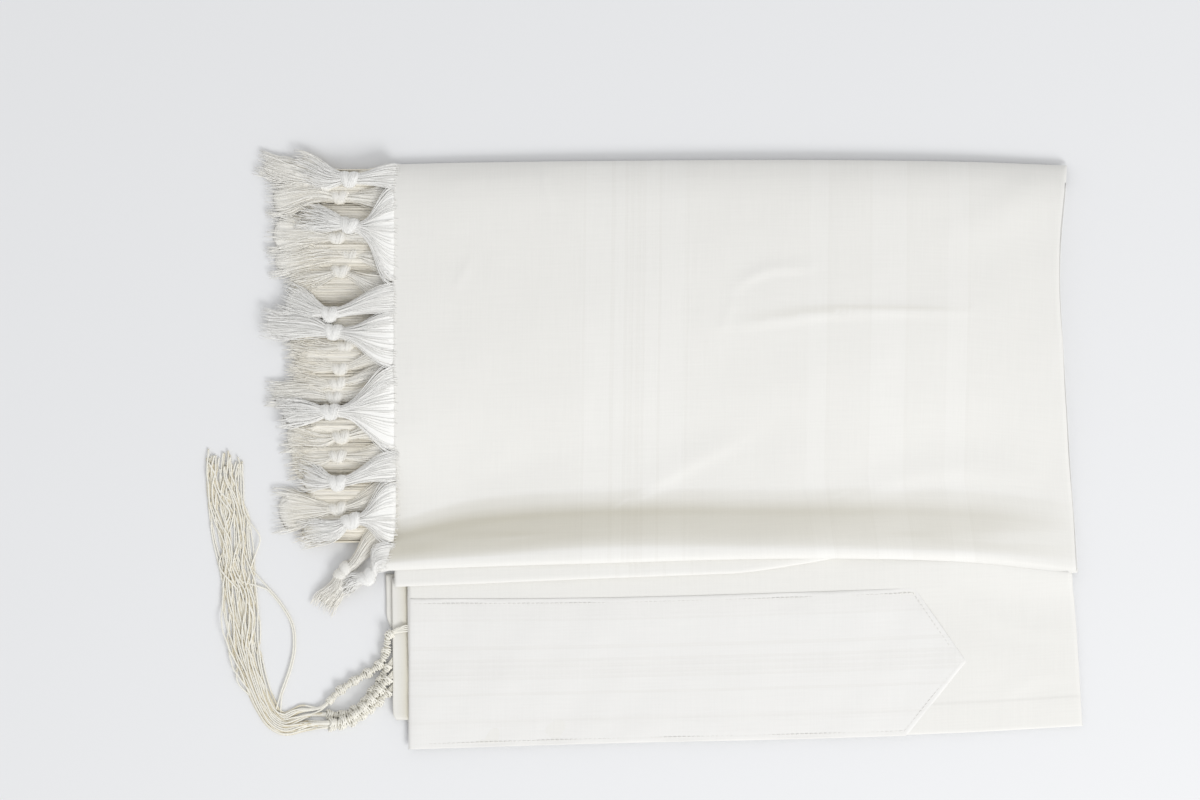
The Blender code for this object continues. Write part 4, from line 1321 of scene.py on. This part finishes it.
def tassel_lines(tassel, side, lift, inside, shorter, sway):
    """Lines from the cloth through the knot to the tail's end, by their places in the bunch:
    side and lift are 1 at its rim, inside is how far in from the edge they start."""
    heights = HEIGHTS[tassel.layer]
    half = (tassel.rear - tassel.front) / 2.0
    root_y = (tassel.rear + tassel.front) / 2.0 - side * half
    root_z = np.interp(root_y, edge_y, edge_z) * heights.root + lift * 0.0003
    roots = np.column_stack([smooth(TOP_EDGES, root_y)[:, 1] + inside, root_y, root_z + 0.0003])
    knot = np.array((tassel.knot_x, tassel.knot_y, heights.knot))
    tip = np.array((tassel.tip_x, tassel.tip_y, heights.tip))
    middle = np.array((roots[:, 0].mean(), (tassel.rear + tassel.front) / 2.0, root_z.mean()))
    into = unit(knot - middle)
    out = unit(tip - knot)
    across_in = unit(np.cross(into, (0.0, 0.0, 1.0))) * -1.0
    up_in = np.cross(into, across_in)
    across_out = unit(np.cross(out, (0.0, 0.0, 1.0))) * -1.0
    up_out = np.cross(out, across_out)
    broad = (side * heights.broad)[:, None]
    enter = knot - into * KNOT_HALF + (broad * across_in + lift[:, None] * up_in) * BUNCH
    reach = np.linalg.norm(enter - roots, axis=1)[:, None]
    first = roots + np.array((-1.0, 0.0, 0.06)) * reach * tassel.bulge
    second = enter - into * reach * 0.36
    root_part = bezier(roots, first, second, enter, ROOT_STEPS)
    t = np.linspace(0.0, 1.0, ROOT_STEPS)[None, :]
    root_part[..., 2] += lift[:, None] * np.sin(math.pi * t) * 0.0016
    leave = knot + out * KNOT_HALF + (broad * across_out + lift[:, None] * up_out) * BUNCH
    ends = tip + across_out * (side * tassel.half_spread)[:, None] - out * shorter[:, None]
    ends[:, 2] = heights.tip + lift * 0.0012
    length = np.linalg.norm(ends - leave, axis=1)[:, None]
    tail_first = leave + (out + across_out * (side * 0.40)[:, None]) * length * 0.40
    tail_first[:, 2] = leave[:, 2] - 0.12 * (leave[:, 2] - ends[:, 2])
    tail_second = ends - (out + across_out * (side * 0.05)[:, None]) * length * 0.40
    tail_first += across_out * tassel.bow * 1.6
    tail_second -= across_out * tassel.bow * 0.5
    tail_second[:, 2] = ends[:, 2] + 0.0012
    tail_part = bezier(leave, tail_first, tail_second, ends, TAIL_STEPS)
    t = np.linspace(0.0, 1.0, TAIL_STEPS)[None, :]
    tail_part[..., 2] += lift[:, None] * np.sin(math.pi * t) * 0.0008
    tail_part += (sway[:, 0:1] * np.sin(8.0 * t + sway[:, 1:2]) * t)[..., None] * across_out
    core = bezier(enter, enter + into * KNOT_HALF * 0.7, leave - out * KNOT_HALF * 0.7, leave, 4)
    lines = np.concatenate([root_part, core[:, 1:-1], tail_part], axis=1)
    lines[:, 0, 2] -= 0.0010
    return lines, knot, unit(into + out)


def knot_wraps(knot, axis, draw):
    """The bunch wound once round itself: two plump slanting turns of yarn."""
    wrap_side = unit(np.cross((0.0, 0.0, 1.0), axis))
    wrap_up = np.cross(axis, wrap_side)
    turn = draw.uniform(-0.5, 0.5)
    made = []
    yarns = []
    for slant, shift, size in ((0.0020, -0.0012, 1.0), (-0.0022, 0.0016, 0.94)):
        t = np.linspace(0.0, 1.0, WRAP_STEPS)
        angle = -0.5 * math.pi + 2.2 * math.pi * (t - 0.05) + turn
        tuck = np.clip(np.minimum(t, 1.0 - t) / 0.12, 0.15, 1.0)
        ring = wrap_side * np.cos(angle)[:, None] * 1.18 + wrap_up * np.sin(angle)[:, None] * 0.85
        ring = ring * (BUNCH * 0.95 * size * tuck)[:, None]
        along = shift + slant * np.cos(angle + 0.4)
        centre = knot + axis * along[:, None] + ring
        outward = unit(ring)
        section = WHOLE_TURN * np.arange(WRAP_SIDES) / WRAP_SIDES
        ridge = 1.0 + np.where(np.arange(WRAP_SIDES) % 2, 0.07, -0.07)
        wide = (np.cos(section) * ridge)[:, None, None] * axis * WRAP_WIDE * size
        high = (np.sin(section) * ridge)[:, None, None] * outward[None] * WRAP_HIGH * size
        lines = centre[None] + wide * (0.6 + 0.4 * tuck)[None, :, None] + high
        lines[..., 2] = np.maximum(lines[..., 2], KNOT_SIDE)
        made.append(loft(lines))
        over = np.linspace(0.12, 0.88, WRAP_YARNS)[:, None, None] * math.pi
        over = over + draw.uniform(-0.12, 0.12, (WRAP_YARNS, 1, 1))
        yarn = centre[None] + (0.6 + 0.4 * tuck)[None, :, None] * 1.04 * (
            np.cos(over) * axis * WRAP_WIDE * size + np.sin(over) * outward[None] * WRAP_HIGH * size
        )
        yarn = yarn[:, 2:-2:2] + draw.normal(0.0, 0.0001, (WRAP_YARNS, 1, 3))
        yarn[..., 2] = np.maximum(yarn[..., 2], YARN * 0.5)
        yarns.append(strands(yarn, YARN * 0.5, 4))
    return made, yarns


def tassel_parts(tassel, draw):
    """A tassel's plump bunch with its knot, and the single yarns that lie on it."""
    tassel = tassel._replace(bow=tassel.bow + draw.uniform(-0.0035, 0.0035))
    span = tassel.rear - tassel.front
    deep = tassel.layer == "deep"
    sides = 56 if deep else 2 * round(np.clip(span / 0.0012, 20, 40))
    angle = WHOLE_TURN * np.arange(sides) / sides
    still = np.zeros((sides, 2))
    inside = np.full(sides, 0.0022)
    shorter = 0.0060 + draw.uniform(-0.0016, 0.0016, sides)
    lines, knot, axis = tassel_lines(
        tassel, np.cos(angle) * 0.96, np.sin(angle) * 0.9, inside, shorter, still
    )
    middle = lines.mean(axis=0)
    ridge = np.where(np.arange(sides) % 2, 1.0, -1.0) * draw.uniform(0.4, 1.4, sides) * RIDGE
    ridge *= 2.2 if deep else 1.0
    lines = lines + unit(lines - middle) * ridge[:, None, None]
    lines[:, -1] = lines[:, -1] * 0.35 + middle[-1] * 0.65
    lines[:, -2] = lines[:, -2] * 0.85 + middle[-2] * 0.15
    lines[..., 2] = np.maximum(lines[..., 2], 0.0002)
    wraps, wrap_yarns = ([], []) if deep else knot_wraps(knot, axis, draw)
    bunch = [loft(lines)] + wraps
    yarns = 32 if deep else round(np.clip(span / 0.0008, 56, 76))
    angle = draw.uniform(-0.25, math.pi + 0.25, yarns)
    angle[::3] = np.arccos(draw.uniform(-1.0, 1.0, len(angle[::3])))
    depth = 1.0 + np.abs(draw.normal(0.0, 0.06, yarns))
    inside = draw.uniform(0.0004, 0.0052, yarns)
    shorter = np.abs(draw.normal(0.0, 0.0044, yarns)) - 0.0012
    sway = np.column_stack([draw.normal(0.0, 0.0013, yarns), draw.uniform(0.0, 6.3, yarns)])
    yarn, _, _ = tassel_lines(
        tassel, np.cos(angle) * depth, np.sin(angle) * depth, inside, shorter, sway
    )
    stray = np.sin(np.linspace(0.0, math.pi, yarn.shape[1]))[None, :, None]
    yarn = yarn + stray * draw.normal(0.0, 0.00034, (yarns, 1, 3))
    yarn[..., 2] = np.maximum(yarn[..., 2] + 0.0001, YARN * 0.5)
    thick = YARN / 2.0 * np.ones(yarn.shape[:2])
    thick[:, 0] *= 0.5
    thick[:, -2:] *= (0.85, 0.5)
    return bunch, [strands(yarn, thick, 4)] + wrap_yarns


deep_tassels = []
for k in range(DEEP_TASSELS):
    rear = DEEP_REAR - k * DEEP_SPAN
    middle = DEEP_REAR - (k + 0.5) * DEEP_SPAN
    front = DEEP_REAR - (k + 1) * DEEP_SPAN
    tip_x = -0.2610 - 0.0030 * (k % 3)
    deep_tassels.append(
        Tassel("deep", rear, front, -0.2440, middle, tip_x, middle, 0.0110, 0.0, 0.60)
    )
fringe_pieces = []
for layer in ("upper", "lower", "deep"):
    yarn_look, bunch_look = FRINGE_LOOKS[layer]
    bunches = []
    yarns = []
    for number, tassel in enumerate([*TASSELS, *deep_tassels]):
        if tassel.layer == layer:
            bunch, single = tassel_parts(tassel, np.random.default_rng(700 + number))
            bunches += bunch
            yarns += single
    fringe = piece(f"fringe_{layer}_bunches", bunches, bunch_look)
    single_yarns = piece(f"fringe_{layer}_yarns", yarns, yarn_look)
    for made in (fringe, single_yarns):
        points = np.zeros(3 * len(made.data.vertices), np.float32)
        made.data.vertices.foreach_get("co", points)
        # painted shade: the lower the wool lies under the fringe's crown, the more, near the knots
        # only and less towards the front
        crown = np.interp(points[0::3], (-0.290, -0.200), (0.0050, 0.0150))
        low = np.clip((crown - points[2::3]) / crown * 1.25 - 0.15, 0.0, 1.0)
        low *= np.interp(points[0::3], (-0.270, -0.252, -0.212, -0.202), (0.0, 1.0, 1.0, 0.0))
        low *= np.interp(points[1::3], (-0.080, -0.066), (0.2, 1.0))
        mark_painted_shade(made, low)
    if layer != "deep":
        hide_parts(f"fringe_{layer}")
    fringe_pieces += [fringe, single_yarns]
